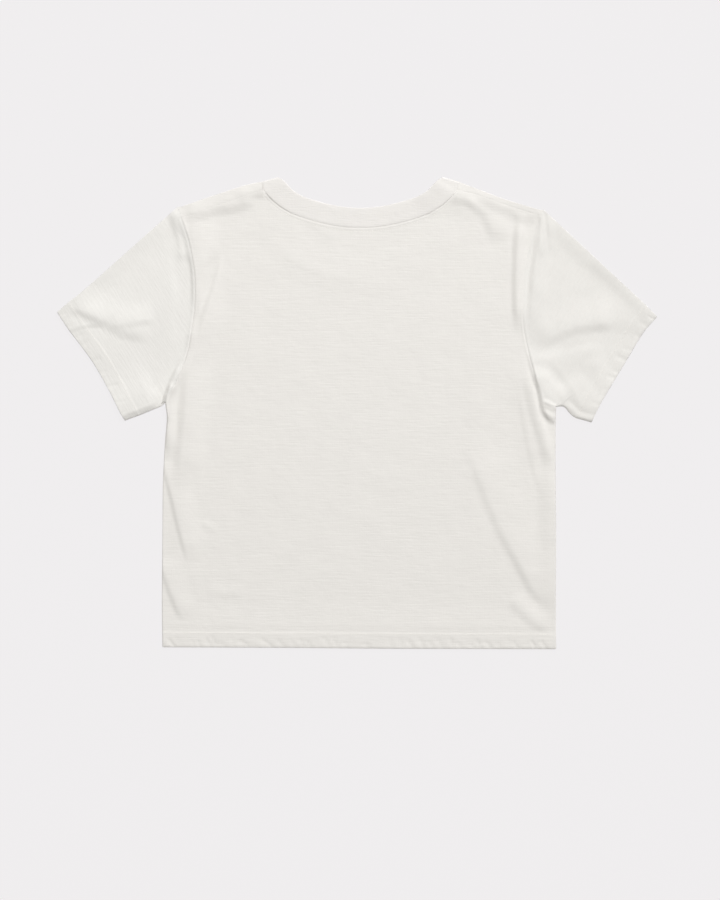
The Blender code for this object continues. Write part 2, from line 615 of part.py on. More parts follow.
def make_sleeve(name, sign, back_line, front_line, shoulder, fold, underarm, cuff, parent):
    armhole = sleeve_armhole(back_line, shoulder, sign)
    front = shifted(along(front_line, FRONT_ARMHOLE_SHARES), sign * SEAM_GAP / 2)[::-1]
    front[:2] = armhole[:2]
    front[-2:] = armhole[-2:]
    rows = len(SLEEVE_SHARES) + len(HEM_ROWS) + 1
    level = np.array([0, *range(len(SLEEVE_SHARES) - 1, rows)])
    upper, inward, turn = with_edges(sleeve_plan(armhole, fold, underarm, cuff), level)
    lower, lower_inward, lower_turn = with_edges(sleeve_plan(front, fold, underarm, cuff),
                                                 level)
    wall = np.full(rows, WALL)
    wall[-len(HEM_ROWS) - 1:] = HEM_WALL
    wall = wall[:, None]
    height = top_height(upper)
    outer_up, inner_up = two_faces(upper, height, height - wall, inward, turn, wall,
                                   height / 2, 0)
    low_height = top_height(lower)
    outer_low, inner_low = two_faces(lower, 0, wall, lower_inward, lower_turn, wall,
                                     low_height / 2, 0)
    outer = np.concatenate([outer_up, outer_low[:, -2:0:-1]], axis=1)
    inner = np.concatenate([inner_up, inner_low[:, -2:0:-1]], axis=1)
    thin_edge(outer, inner, range(rows - 1, rows - 1 - len(HEM_ROWS), -1))
    return add_wall(name, outer, inner, JERSEY, parent, tube=True)


RIB_PROFILE = [(0.0, 0.0), (0.62, 0.0), (0.955, 0.0), (0.99, 0.4), (1.0, 1.0), (0.99, 1.6),
               (0.955, 2.0), (0.62, 2.0), (0.05, 2.0), (0.0, 1.6)]


def make_rib(parent):
    inner_radius = FOLD_TOP / 2 - RIB_WALL
    seam, edge = mirrored_neck(BACK_NECK, NECK_SHARES)
    seam = shifted(seam, SEAM_GAP / 2)
    sections = []

    def add_flat(seam_place, edge_place, axis_height, way):
        sections.append((seam_place, edge_place, axis_height, np.array((0, 0, way))))

    def add_turn(sign, angles):
        seam_place = np.array((NECK_CENTRE + sign * (NECK_FOLD.seam_x - 0.3),
                               NECK_FOLD.seam_y))
        edge_place = np.array((NECK_CENTRE + sign * NECK_FOLD.edge_x, NECK_FOLD.edge_y))
        line = edge_place - seam_place
        outward = np.array((-line[1], line[0])) * -sign
        outward /= np.hypot(*outward)
        for angle in np.radians(angles):
            way = np.array((*(outward * np.cos(angle)), np.sin(angle)))
            axis = FOLD_TOP / 2 * outward
            sections.append((seam_place - axis, edge_place - axis, FOLD_TOP / 2, way))

    across = np.linspace(0, 1, 6)[None, :, None]
    below = seam[:, None] * (1 - across) + edge[:, None] * across
    on_rib = rib_share(below.reshape(-1, 2)).reshape(below.shape[:2])
    heights = (top_height(below) + RIB_ON_RIB * on_rib).max(axis=1)
    for place, other, height in zip(seam, edge, heights):
        add_flat(place, other, height - FOLD_TOP / 2, 1)
    add_turn(1, [90, 45, 0, -45, -90])
    front_seam, front_edge = mirrored_neck(FRONT_NECK, FRONT_NECK_SHARES)
    front_seam = shifted(front_seam, SEAM_GAP / 2)
    for place, other in list(zip(front_seam, front_edge))[-2:0:-1]:
        add_flat(place, other, FOLD_TOP / 2, -1)
    add_turn(-1, [-90, -45, 0, 45, 90])

    mesh = bmesh.new()
    rings = []
    for seam_place, edge_place, axis_height, way in sections:
        ring = []
        for share, thick in RIB_PROFILE:
            place = seam_place + share * (edge_place - seam_place)
            foot = np.array((*place, axis_height))
            point = foot + way * (inner_radius + thick * RIB_WALL / 2)
            ring.append(mesh.verts.new(point * MM))
        rings.append(ring)
    for ring, after in zip(rings, rings[1:] + rings[:1]):
        for i in range(len(ring)):
            j = (i + 1) % len(ring)
            mesh.faces.new([ring[i], ring[j], after[j], after[i]])
    return add_object("neck_rib", mesh, RIB, parent)


def centre_on_origin(parent, pieces):
    """Move the parent so that the garment's box is centred over the origin."""
    corners = np.array([point.co for piece in pieces for point in piece.data.vertices])
    low, high = corners.min(axis=0), corners.max(axis=0)
    parent.location = (-(low[0] + high[0]) / 2, -(low[1] + high[1]) / 2, -low[2])


def main():
    for thing in list(bpy.data.objects):
        bpy.data.objects.remove(thing, do_unlink=True)
    collection = bpy.data.collections.new(COLLECTION_NAME)
    bpy.context.scene.collection.children.link(collection)
    parent = bpy.data.objects.new("tshirt_frame", None)
    collection.objects.link(parent)
    pieces = [
        make_front(parent),
        make_back(parent),
        make_sleeve("sleeve_left", 1, ARMHOLE_LEFT, FRONT_ARMHOLE_LEFT, SHOULDER_LEFT,
                    SLEEVE_FOLD_LEFT, UNDERARM_LEFT, CUFF_LEFT, parent),
        make_sleeve("sleeve_right", -1, ARMHOLE_RIGHT, FRONT_ARMHOLE_RIGHT, SHOULDER_RIGHT,
                    SLEEVE_FOLD_RIGHT, UNDERARM_RIGHT, CUFF_RIGHT, parent),
        make_rib(parent),
    ]
    centre_on_origin(parent, pieces)


main()
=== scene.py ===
"""The looks of a crew-neck t-shirt laid flat with its back up.

The tables are in millimetres: x is measured from the middle of the body and y from the
hem's edge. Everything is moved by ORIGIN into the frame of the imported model.
"""

import random
from collections import namedtuple

import bmesh
import bpy
import numpy as np
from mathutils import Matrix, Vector, noise


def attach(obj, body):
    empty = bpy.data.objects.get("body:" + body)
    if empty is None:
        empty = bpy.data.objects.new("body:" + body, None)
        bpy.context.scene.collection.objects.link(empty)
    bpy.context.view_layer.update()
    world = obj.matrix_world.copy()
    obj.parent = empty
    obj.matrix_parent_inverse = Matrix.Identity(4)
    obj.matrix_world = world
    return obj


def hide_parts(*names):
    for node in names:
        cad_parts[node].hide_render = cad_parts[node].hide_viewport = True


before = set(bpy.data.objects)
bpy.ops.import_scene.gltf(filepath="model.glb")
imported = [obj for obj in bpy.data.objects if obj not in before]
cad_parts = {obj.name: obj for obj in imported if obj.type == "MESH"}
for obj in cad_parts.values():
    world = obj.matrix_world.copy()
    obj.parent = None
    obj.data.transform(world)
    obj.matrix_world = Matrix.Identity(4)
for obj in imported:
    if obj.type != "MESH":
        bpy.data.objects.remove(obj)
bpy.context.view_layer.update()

MM = 0.001
ORIGIN = np.array((2.505, -263.577, 0.0))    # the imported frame's place of the tables' zero

# Cloth
WALL = 0.8            # one layer of jersey
HEM_WALL = 1.4        # jersey turned up on itself
RIB_WALL = 1.6        # the doubled neck rib
SEAM_GAP = 0.04       # between two pieces at a seam
LAYER_GAP = 0.4       # between the lower and the upper layer
BODY_HEM = 17.0       # depth of the turned-up hem
CUFF_HEM = 18.0       # depth of the turned-up cuff
HEM_STEP = 0.3        # share of the hem's thickness that shows as a step at its stitches
HEM_STEP_WIDTH = 3.0
HEM_RAMP = 38.0       # the cloth comes down from the rest of it over this length
EDGE = 1.6            # width of the rounding at the side seams
FOLD_EDGE = 0.35      # at the folded edges of the sleeves and shoulders
UNDER_EDGE = 2.6      # at the underarms
EDGE_NEXT = 0.5       # the flat cloth beside a rounding has a column of its own this near
EDGE_CLEAR = 0.3      # no other column of a grid lies closer than this to that one
FOLD_TOP = 3.7        # outer height of the rib where it folds at the shoulder point
LOWER_LIFT = 0.22     # share of the upper layer's forms that the layer below follows

FLAT_TOP = 2 * WALL + LAYER_GAP
SIDE_MIDDLE = WALL + LAYER_GAP / 2
HEM_RISE = 2 * (HEM_WALL - WALL)

Point = namedtuple("Point", "x y")
NeckRow = namedtuple("NeckRow", "seam_x seam_y edge_x edge_y")
Fold = namedtuple("Fold", "name height left right path")
Relief = namedtuple("Relief", "line at height width")

HEM_EDGE = [Point(-220.5, 1.5), Point(-66.5, 0.8), Point(20, 0), Point(220.5, -0.6)]
ARMPIT_LEFT = Point(-217.5, 275)
ARMPIT_RIGHT = Point(220.5, 270.5)
SHOULDER_LEFT = Point(-203, 493.5)
SHOULDER_RIGHT = Point(206.5, 490.5)
SIDE_LEFT = [Point(-220.5, 1.5), Point(-221, 54), Point(-220.5, 121), Point(-220, 178),
             Point(-219, 205), Point(-217.5, 233), Point(-215.5, 258), ARMPIT_LEFT]
SIDE_RIGHT = [Point(220.5, -0.6), Point(220.2, 43), Point(220.5, 121), Point(220, 200),
              Point(220, 244), ARMPIT_RIGHT]

# Armhole seams, from the armpit up to the shoulder seam on the back
ARMHOLE_LEFT = [ARMPIT_LEFT, Point(-210, 289.5), Point(-202, 304), Point(-195, 323),
                Point(-190.5, 340), Point(-187, 362), Point(-184.5, 382), Point(-184, 402),
                Point(-185, 422), Point(-188.5, 444), Point(-192.5, 461), Point(-199.5, 482)]
ARMHOLE_RIGHT = [ARMPIT_RIGHT, Point(211, 273), Point(204.5, 277), Point(201, 284),
                 Point(197.5, 297.5), Point(194.5, 312), Point(191, 325.5), Point(187.5, 340),
                 Point(184.5, 357), Point(183.3, 374), Point(183.7, 390), Point(185, 418),
                 Point(190, 446), Point(196.5, 467), Point(203.5, 484.5)]
# Armhole seams on the hidden front, from the armpit up to the shoulder point
FRONT_ARMHOLE_LEFT = [ARMPIT_LEFT, Point(-201, 292), Point(-186, 322), Point(-178.5, 362),
                      Point(-178, 402), Point(-184, 444), Point(-195, 478), SHOULDER_LEFT]
FRONT_ARMHOLE_RIGHT = [ARMPIT_RIGHT, Point(202, 288), Point(187, 320), Point(179.5, 360),
                       Point(179, 402), Point(185, 442), Point(197, 476), SHOULDER_RIGHT]

# Shoulder seams on the back, and the folded edges above them, towards the neck
NECK_CENTRE = 1.2
NECK_CORNER = NeckRow(109.3, 513.5, 88.3, 526)
SHOULDER_SEAM_LEFT = [Point(-199.5, 482), Point(-184, 486.5), Point(-169.5, 492.5),
                      Point(-151.5, 498.5), Point(-133.5, 504.5), Point(-118, 510),
                      Point(NECK_CENTRE - NECK_CORNER.seam_x, NECK_CORNER.seam_y)]
SHOULDER_SEAM_RIGHT = [Point(203.5, 484.5), Point(180, 491.5), Point(157.5, 499),
                       Point(135, 507), Point(NECK_CENTRE + NECK_CORNER.seam_x,
                                              NECK_CORNER.seam_y)]
NECK_FOLD = NeckRow(110.0, 522.5, 91.2, 528)
SHOULDER_FOLD_LEFT = [SHOULDER_LEFT, Point(-189.5, 498), Point(-178.5, 502),
                      Point(-151.5, 511), Point(-133.5, 517), Point(-118, 521),
                      Point(NECK_CENTRE - NECK_FOLD.seam_x, NECK_FOLD.seam_y)]
SHOULDER_FOLD_RIGHT = [SHOULDER_RIGHT, Point(198, 492.5), Point(180, 497.7), Point(162, 503.3),
                       Point(146.5, 509), Point(126, 517),
                       Point(NECK_CENTRE + NECK_FOLD.seam_x, NECK_FOLD.seam_y)]

# The neck rib, half of it from the shoulder to the middle: its seam and its folded edge
BACK_NECK = [NECK_CORNER, NeckRow(101.5, 505, 82.5, 520.5), NeckRow(90.5, 495.5, 74.5, 512.3),
             NeckRow(76.5, 487, 63, 505.8), NeckRow(59, 480.5, 49.5, 501.3),
             NeckRow(39, 475.3, 33.7, 497.2), NeckRow(19.5, 472, 17, 494.3),
             NeckRow(0, 471, 0, 493.2)]
FRONT_NECK = [NeckRow(110, 520.4, 91.4, 525.8), NeckRow(108, 496.5, 86.2, 500),
              NeckRow(101, 463, 79.5, 467.5), NeckRow(77.5, 433, 63.4, 450),
              NeckRow(39.5, 412.5, 32.7, 433.4), NeckRow(0, 407.5, 0, 429.5)]

# Sleeves, from the body out to the cuff
SLEEVE_FOLD_LEFT = [SHOULDER_LEFT, Point(-212, 487), Point(-303.5, 405.5), Point(-324, 389),
                    Point(-338.5, 376.5)]
SLEEVE_FOLD_RIGHT = [SHOULDER_RIGHT, Point(211.5, 486.5), Point(269.5, 432.5),
                     Point(314.5, 390.3), Point(333.5, 371.5)]
UNDERARM_LEFT = [ARMPIT_LEFT, Point(-222, 271), Point(-231, 267.3), Point(-245.5, 261.3),
                 Point(-262.5, 255)]
UNDERARM_RIGHT = [ARMPIT_RIGHT, Point(227, 271), Point(231, 268.7), Point(235, 263.8),
                  Point(240.5, 259), Point(249, 255.2), Point(260, 253)]
CUFF_LEFT = [Point(-338.5, 376.5), Point(-326, 357.5), Point(-310, 336.5),
             Point(-299.5, 322), Point(-289.5, 305.5), Point(-279, 286.5),
             Point(-268.5, 265.5), Point(-262.5, 255)]
CUFF_RIGHT = [Point(333.5, 371.5), Point(319.5, 355.5), Point(309, 339), Point(294.5, 314.5),
              Point(278, 287.5), Point(267.5, 269), Point(260, 253)]

# Paths that two of the forms below share
RIGHT_HEAD = [(207, 486), (202, 462), (198.5, 435), (196.3, 418), (194.3, 395)]
RIGHT_BULGE = [(191, 340), (196, 318), (200, 301), (203.3, 290), (205.3, 279), (207.5, 269),
               (211.5, 262), (217, 257), (226, 252)]
RIGHT_DIAGONAL = [(119, 232), (134.5, 198), (145.5, 169), (156, 144), (168, 119), (179.5, 99),
                  (189.5, 80), (199, 64), (220, 46)]
# How the upper layer rises and falls over the cloth below it. A path runs along each
# form, left and right are its half widths on either side of the path, and a negative
# height is a trough between the forms beside it.
FORMS = [
    Fold("neck opening", -0.5, 34, 34, [(-70, 470), (1, 452), (72, 470)]),
    Fold("left sleeve body", 1.6, 62, 62, [(-176, 415), (-245, 372), (-318, 322)]),
    Fold("left sleeve ledge", 2.1, 36, 14,
         [(-328, 388), (-317, 383), (-300, 376), (-283, 369), (-270, 361), (-254, 355.5),
          (-240, 353), (-230, 352)]),
    Fold("left cuff shade", 1.0, 20, 9,
         [(-324, 384.5), (-314, 381), (-300, 375.5), (-288, 369.5), (-278, 363)]),
    Fold("left sleeve roll", 2.2, 12, 25,
         [(-352, 371), (-325.5, 393.5), (-304, 411.5), (-258, 452.5), (-214, 492)]),
    Fold("left sleeve fork", 1.2, 24, 9,
         [(-282, 363), (-262, 365.5), (-242, 368.5), (-226, 371.5)]),
    Fold("left underarm roll", 2.9, 50, 12.5,
         [(-296, 248), (-267, 265), (-250, 272), (-235.5, 278), (-220, 285)]),
    Fold("left armpit corner", 0.8, 16, 7,
         [(-202, 318), (-208, 307), (-217, 298), (-226, 287), (-232, 276)]),
    Fold("left armpit crest", 3.0, 12, 6.5,
         [(-192, 338), (-202, 311), (-208, 298), (-212, 287.5), (-214.5, 278), (-215, 266),
          (-214, 250), (-213.5, 232), (-213, 210)]),
    Fold("left armpit tuck", 2.8, 8, 5,
         [(-208, 301), (-212.5, 288.5), (-215.3, 279), (-216.5, 268), (-216, 252)]),
    Fold("left sleeve head", 3.0, 13, 11,
         [(-209, 498), (-205, 482), (-201.8, 466), (-199.5, 452), (-198, 438), (-196.8, 426)]),
    Fold("left sleeve top valley", -2.0, 10, 20,
         [(-212, 486), (-203, 468), (-197, 445), (-194, 415), (-193.5, 392), (-198, 362),
          (-203, 340)]),
    Fold("left armhole step", 3.2, 38, 13,
         [(-203, 510), (-194.5, 488), (-189, 468), (-185.6, 458), (-184, 440), (-181.5, 425),
          (-179.3, 407), (-177.5, 388), (-178.5, 370), (-184, 345), (-187, 318)]),
    Fold("left side lift", 1.2, 30, 26, [(-194, 345), (-194, 200), (-199, 80), (-205, 20)]),
    Fold("left side ridge", 2.8, 34, 12,
         [(-183, 360), (-188, 325), (-191.5, 295), (-193, 267), (-197, 233), (-199, 205),
          (-202, 178)]),
    Fold("left side crease", 1.9, 28, 6,
         [(-219.5, 216), (-215.5, 197), (-207.5, 166), (-202, 142), (-195, 116), (-189, 92)]),
    Fold("left hem crease", 1.8, 24, 7,
         [(-224, 104), (-216.5, 82), (-209, 62), (-202, 45), (-194, 31)]),
    Fold("right sleeve body", 0.8, 62, 62, [(178, 408), (245, 362), (312, 322)]),
    Fold("right sleeve roll", 1.8, 12, 22,
         [(172, 522), (208, 489), (268, 433), (312, 391.5), (346, 356)]),
    Fold("right sleeve roll, outer", 0.9, 8, 16,
         [(256, 446), (284, 420), (314, 391), (340, 364)]),
    Fold("right sleeve ledge", 1.9, 34, 12.5,
         [(196, 338.5), (211, 347.5), (224.3, 355.2), (240.6, 361.2), (257.2, 363.8),
          (274, 365), (290, 366)]),
    Fold("right sleeve ledge, outer", 1.6, 40, 24,
         [(256, 374), (276, 373), (298, 371), (318, 365), (336, 355)]),
    Fold("right sleeve swell", 0.9, 12, 26, [(194, 320), (222, 325), (250, 331), (276, 337)]),
    Fold("right sleeve head", 1.7, 18, 7.5, RIGHT_HEAD + [(192.5, 374), (191.5, 352)]),
    Fold("right sleeve head, upper", 1.0, 18, 7.5, RIGHT_HEAD + [(193.5, 388)]),
    Fold("right panel ridge", 3.2, 12, 8.5,
         [(181.5, 492), (178.5, 455), (177.5, 430), (177, 405), (177.5, 380), (179, 353)]),
    Fold("right underarm roll", 0.5, 30, 7,
         [(199, 312), (204.5, 298), (212, 286), (222, 278), (236, 268)]),
    Fold("right underarm valley", -0.9, 9, 10,
         [(207, 322), (215, 310), (225, 298), (234, 285), (239, 272), (243, 262)]),
    Fold("right cuff roll", 2.2, 40, 18,
         [(226, 300), (240, 282), (254, 274), (270, 270), (288, 264)]),
    Fold("right armpit lift", 1.6, 30, 30, [(180, 330), (190, 290), (200, 250), (206, 200)]),
    Fold("right armpit bulge", 2.2, 40, 7, RIGHT_BULGE),
    Fold("right armpit bulge, lower", 2.6, 26, 6.5, RIGHT_BULGE[1:]),
    Fold("right side ridge", 2.0, 9, 11,
         [(189.5, 314), (192.5, 292), (196.2, 272), (201.2, 254), (207.5, 236), (212.5, 216),
          (215, 196)]),
    Fold("right side lift", 0.9, 18, 14, [(211, 220), (211.5, 170), (212, 110)]),
    Fold("right diagonal ridge", 2.0, 56, 11.5, RIGHT_DIAGONAL),
    Fold("right diagonal ridge, lower", 0.6, 30, 11.5, RIGHT_DIAGONAL[3:]),
    Fold("right side roll", 2.4, 10, 26, [(222, 215), (221, 160), (221, 90), (221, 20)]),
    Fold("right hem ridge", 1.5, 18, 12,
         [(166, 60), (180, 47), (190, 37), (201, 29.5), (216, 25)]),
    Fold("right shoulder ridge", 2.1, 26, 13,
         [(91, 502), (103, 506.5), (118, 506), (131, 499.5), (143, 487), (151, 471),
          (155, 450)]),
    Fold("right neck tuck", 0.7, 8, 9,
         [(101, 505), (109, 507), (116, 506.5), (124, 502.5), (132, 495)]),
    Fold("right neck shade", 0.9, 10, 20, [(74, 489), (96, 499), (120, 497), (138, 486)]),
    Fold("left neck corner", 1.1, 12, 14, [(-140, 507), (-124, 512), (-109, 515), (-92, 506)]),
    Fold("left neck end", 1.2, 4, 26, [(-111.5, 538), (-109.5, 520), (-109, 502)]),
]
# Smaller forms that only the looks have
CREASES = [
    Fold("front rib, left", 0.5, 16, 8, [(-96, 452), (-70, 434), (-36, 418), (8, 411)]),
    Fold("front rib, centre", 0.6, 14, 7, [(-60, 480), (-44, 469), (-22, 456)]),
    Fold("left panel crease", -2.5, 7.5, 14,
         [(-159, 446), (-164, 424), (-168.5, 406), (-174.5, 388), (-181.5, 366), (-187, 348)]),
    Fold("left shoulder shade", 2.5, 44, 14.5,
         [(-202, 485), (-190, 488), (-178.5, 491.5), (-160, 495.5), (-134, 499.8),
          (-111, 508)]),
    Fold("left sleeve top shade", 0.4, 12, 12, [(-305, 412), (-292, 415), (-276, 426)]),
    Fold("left cuff crease", 1.0, 26, 5,
         [(-330, 352), (-320.5, 358.5), (-309, 362), (-298, 363.2), (-284, 363)]),
    Fold("left body dimple", 0.6, 10, 5, [(-176, 142), (-168, 135), (-158, 132)]),
    Fold("left body shade", 0.6, 16, 9, [(-176, 66), (-150, 62), (-124, 64)]),
    Fold("right sleeve lower ridge", 1.0, 20, 17,
         [(256, 326), (268, 308), (282, 295), (298, 286)]),
    Fold("left underarm edge", 0.9, 5, 6,
         [(-286, 247), (-262.5, 261), (-245.5, 267.3), (-231, 273), (-221, 278)]),
    Fold("right underarm edge", 0.9, 6, 5,
         [(226, 276), (231, 273.5), (238, 267.5), (244, 262), (251, 259), (262, 257),
          (280, 252)]),
    Fold("right side faint ridge", 0.6, 9, 6, [(181, 290), (187, 245), (196, 204), (205, 165)]),
    Fold("right shoulder crease", 2.0, 40, 14,
         [(134, 512), (146, 505.5), (157, 499.5), (169, 493), (185, 486), (202, 480)]),
    Fold("right sleeve pleat", 1.0, 10, 4, [(208, 500), (211.5, 481), (214, 458), (215, 440)]),
    Fold("right sleeve second pleat", 0.9, 8, 4,
         [(203, 494), (203.5, 474), (203, 452), (202, 436)]),
    Fold("left armpit fold", 0.6, 6, 3.5, [(-203, 316), (-207, 306), (-212, 298)]),
]
# Sharp clefts, cut in after the rest
CLEFTS = [
    Fold("left armpit stripe", 0.9, 1.3, 1.3,
         [(-216, 291), (-217.8, 283), (-219.8, 275), (-221, 266)]),
    Fold("right armpit tuck", 1.0, 4, 4, [(203.5, 277), (212, 274.5), (220, 270), (230, 266)]),
    Fold("right armpit pocket", -0.9, 3.5, 5,
         [(204, 270.5), (211, 267), (217, 264.5), (230, 262)]),
    Fold("right armhole seam", 0.35, 8, 1.3,
         [(202.5, 482), (196, 466), (189.8, 446), (185, 418), (183.5, 390), (183.3, 374),
          (184.8, 355)]),
]
FORM_FADE = 0.22      # share of a path over which a form comes up from nothing
RIB_BELOW = 12.5      # the upper layer lies on the front's neck rib within this of its middle
RIB_RAMP = 14.0
RIB_RISE = 0.3
RIB_ON_RIB = 0.8      # more where the back of the rib lies on the front of it
RIB_EVENING = 14      # times that the rib's height is evened out along it
SETTLING = 0.2        # how softly the upper layer comes to rest on the lower one
LOWER_REST = 0.25     # rise of the upper layer that the layer below doesn't follow
# Unevenness of cloth that was smoothed by hand: its height, its two sizes and its seed
Uneven = namedtuple("Uneven", "height wide long seed")
UNEVEN = [Uneven(0.16, 34, 26, 0), Uneven(0.07, 11, 8, 5)]
# Puckers: spacing along the edge, slant, depth of the hem, and the deepest of them
Pucker = namedtuple("Pucker", "edge spacing slant depth deepest")
PUCKER_ROWS = [Pucker(HEM_EDGE, 9.5, 8.0, BODY_HEM, 0.8),
               Pucker(CUFF_LEFT, 15.0, -3.0, CUFF_HEM, 0.35),
               Pucker(CUFF_RIGHT, 14.0, 3.5, CUFF_HEM, 0.5)]
PUCKER_SEED = 11
PUCKER_END = 4.0      # no pucker lies closer than this to either end of its edge

# Grids
BACK_NECK_START = 0.236    # share of the body's width where the neck starts
FRONT_NECK_START = 0.2
ARMHOLE_REACH = 0.24       # share of the body's width over which the armholes bend its columns
SLEEVE_REACH = 0.4         # share of a sleeve over which the armhole bends its rows
EDGE_TURNS = np.radians([0, 22.5, 45, 67.5])
HEM_EDGE_WALL = [0.4, 0.8, 1.0]
HEM_ROWS = [0, 0.25, 0.9]
STEP = 0.6            # length over which the wall thins above a hem


# --- curves ------------------------------------------------------------------------------

def smooth(points, steps=12):
    """A Catmull-Rom curve through the points, as an array of places along it."""
    known = np.array(points, float)
    known = np.vstack([2 * known[0] - known[1], known, 2 * known[-1] - known[-2]])
    share = np.linspace(0, 1, steps, endpoint=False)[:, None]
    places = []
    for before, start, end, after in zip(known, known[1:], known[2:], known[3:]):
        places.append(start + 0.5 * share * (end - before
                      + share * (2 * before - 5 * start + 4 * end - after
                      + share * (3 * (start - end) + after - before))))
    places.append(known[-2][None, :])
    return np.vstack(places)


def distance(start, end):
    return np.sqrt(((np.asarray(start) - end) ** 2).sum())


def lengths(places):
    """Length along a polyline at each of its places."""
    return np.concatenate([[0], np.cumsum(np.hypot(*np.diff(places, axis=0).T))])


def along(points, shares):
    """Places at the given shares of the length of the curve through the points."""
    places = smooth(points)
    run = lengths(places)
    wanted = np.asarray(shares, float) * run[-1]
    return np.column_stack([np.interp(wanted, run, places[:, axis]) for axis in (0, 1)])


def shifted(places, gap):
    """A polyline moved sideways, to its left where the distance is positive."""
    ahead = np.gradient(places, axis=0)
    ahead /= np.hypot(*ahead.T)[:, None]
    return places + gap * np.column_stack([-ahead[:, 1], ahead[:, 0]])


def spaced(length, stops):
    """Shares of a length whose spacing follows (place, spacing) stops in millimetres."""
    fine = np.linspace(0, length, 4001)
    density = 1 / np.interp(fine, [stop[0] for stop in stops], [stop[1] for stop in stops])
    count = np.concatenate([[0], np.cumsum((density[1:] + density[:-1]) / 2 * np.diff(fine))])
    number = max(2, int(round(count[-1])))
    return np.interp(np.linspace(0, count[-1], number + 1), count, fine) / length


def mirrored_neck(rows, shares):
    """Seam and folded edge of the neck from its left end to its right end."""
    seam = along([(-row.seam_x, row.seam_y) for row in rows], shares)
    edge = along([(-row.edge_x, row.edge_y) for row in rows], shares)
    halves = []
    for half in (seam, edge):
        other = half[-2::-1] * (-1, 1)
        halves.append(np.vstack([half, other]) + (NECK_CENTRE, 0))
    return halves


def ease(share):
    """Smooth step from 0 to 1."""
    share = np.clip(share, 0, 1)
    return share * share * (3 - 2 * share)


def patch(bottom, top, left, right, reach):
    """Rows of places between four polylines that meet at their ends.

    The bend of the left and right lines dies out over the given share of the width.
    """
    across = (lengths(bottom) / lengths(bottom)[-1] + lengths(top) / lengths(top)[-1]) / 2
    up = (lengths(left) / lengths(left)[-1] + lengths(right) / lengths(right)[-1]) / 2
    u = across[None, :, None]
    v = up[:, None, None]
    ruled = (1 - v) * bottom[None] + v * top[None]
    bend_left = (left - (1 - up[:, None]) * bottom[0] - up[:, None] * top[0])[:, None]
    bend_right = (right - (1 - up[:, None]) * bottom[-1] - up[:, None] * top[-1])[:, None]
    if reach == 1.0:
        return ruled + (1 - u) * bend_left + u * bend_right
    near_left = ease(1 - u / reach)
    near_right = ease(1 - (1 - u) / reach)
    return ruled + near_left * bend_left + near_right * bend_right


# --- height of the upper layer -----------------------------------------------------------

def nearest(line, places):
    """Distance from each place to a polyline, its side (left is +1) and share along it."""
    run = lengths(line)
    best = np.full(len(places), np.inf)
    side = np.ones(len(places))
    share = np.zeros(len(places))
    for start, end, begun in zip(line, line[1:], run):
        ahead = end - start
        span = np.hypot(*ahead)
        offset = places - start
        part = np.clip(offset @ ahead / span ** 2, 0, 1)
        away = np.hypot(*(offset - part[:, None] * ahead).T)
        closer = away < best
        best[closer] = away[closer]
        side[closer] = np.sign(ahead[0] * offset[closer, 1] - ahead[1] * offset[closer, 0])
        share[closer] = (begun + part[closer] * span) / run[-1]
    return best, side, share


def near(line, places, reach):
    """Which places lie within reach of a polyline's box."""
    low, high = line.min(axis=0) - reach, line.max(axis=0) + reach
    return np.flatnonzero(((places > low) & (places < high)).all(axis=1))


def add_fold(rise, form, places):
    """Add one form to the rise of the places near it."""
    line = smooth(form.path, 5)
    some = near(line, places, max(form.left, form.right))
    if not len(some):
        return
    away, side, share = nearest(line, places[some])
    width = np.where(side > 0, form.left, form.right)
    across = 0.5 + 0.5 * np.cos(np.pi * np.clip(away / width, 0, 1))
    rise[some] += form.height * across * ease(np.minimum(share, 1 - share) / FORM_FADE)


def hem_share(places):
    """1 over the hem and the cuffs, 0 where the cloth is one layer thick."""
    share = np.zeros(len(places))
    for edge, depth in ((HEM_EDGE, BODY_HEM), (CUFF_LEFT, CUFF_HEM), (CUFF_RIGHT, CUFF_HEM)):
        away, _, _ = nearest(smooth(edge, 4), places)
        step = ease(1 - (away - depth + 1.5) / HEM_STEP_WIDTH)
        ramp = ease(1 - (away - depth) / HEM_RAMP)
        share = np.maximum(share, HEM_STEP * step + (1 - HEM_STEP) * ramp)
    return share


def neck_line(rows, middle=0.0):
    """The neck's seam, or the line that lies the given share of the way to its edge."""
    half = [((1 - middle) * row.seam_x + middle * row.edge_x,
             (1 - middle) * row.seam_y + middle * row.edge_y) for row in rows]
    line = [(NECK_CENTRE - x, y) for x, y in half]
    return line + [(NECK_CENTRE + x, y) for x, y in half[-2::-1]]


def rib_share(places):
    """1 where the upper layer lies on the front's neck rib, 0 away from it."""
    away, _, _ = nearest(smooth(neck_line(FRONT_NECK, 0.5), 4), places)
    return ease(1 - (away - RIB_BELOW) / RIB_RAMP)


# Fine relief beside the seams: how far from the seam, how high and how wide
RELIEF = [
    Relief(neck_line(BACK_NECK), 1.8, 0.16, 1.8),
    Relief(neck_line(BACK_NECK), 4.1, -0.05, 1.2),
    Relief(SHOULDER_SEAM_LEFT, 0, -0.12, 1.1),
    Relief(SHOULDER_SEAM_RIGHT, 0, -0.12, 1.1),
    Relief(ARMHOLE_LEFT, 0, -0.3, 1.1),
    Relief(ARMHOLE_RIGHT[4:], 0, -0.2, 1.1),
    Relief(ARMHOLE_LEFT[3:], 1.9, 0.2, 1.6),
    Relief(ARMHOLE_RIGHT[4:], 1.9, 0.2, 1.6),
    Relief(HEM_EDGE, 26.0, 0.12, 5.0),
    Relief(HEM_EDGE, 0.0, -0.4, 2.2),
    Relief(CUFF_LEFT, 0.0, -0.1, 1.8),
    Relief(CUFF_RIGHT, 0.0, -0.3, 1.8),
]


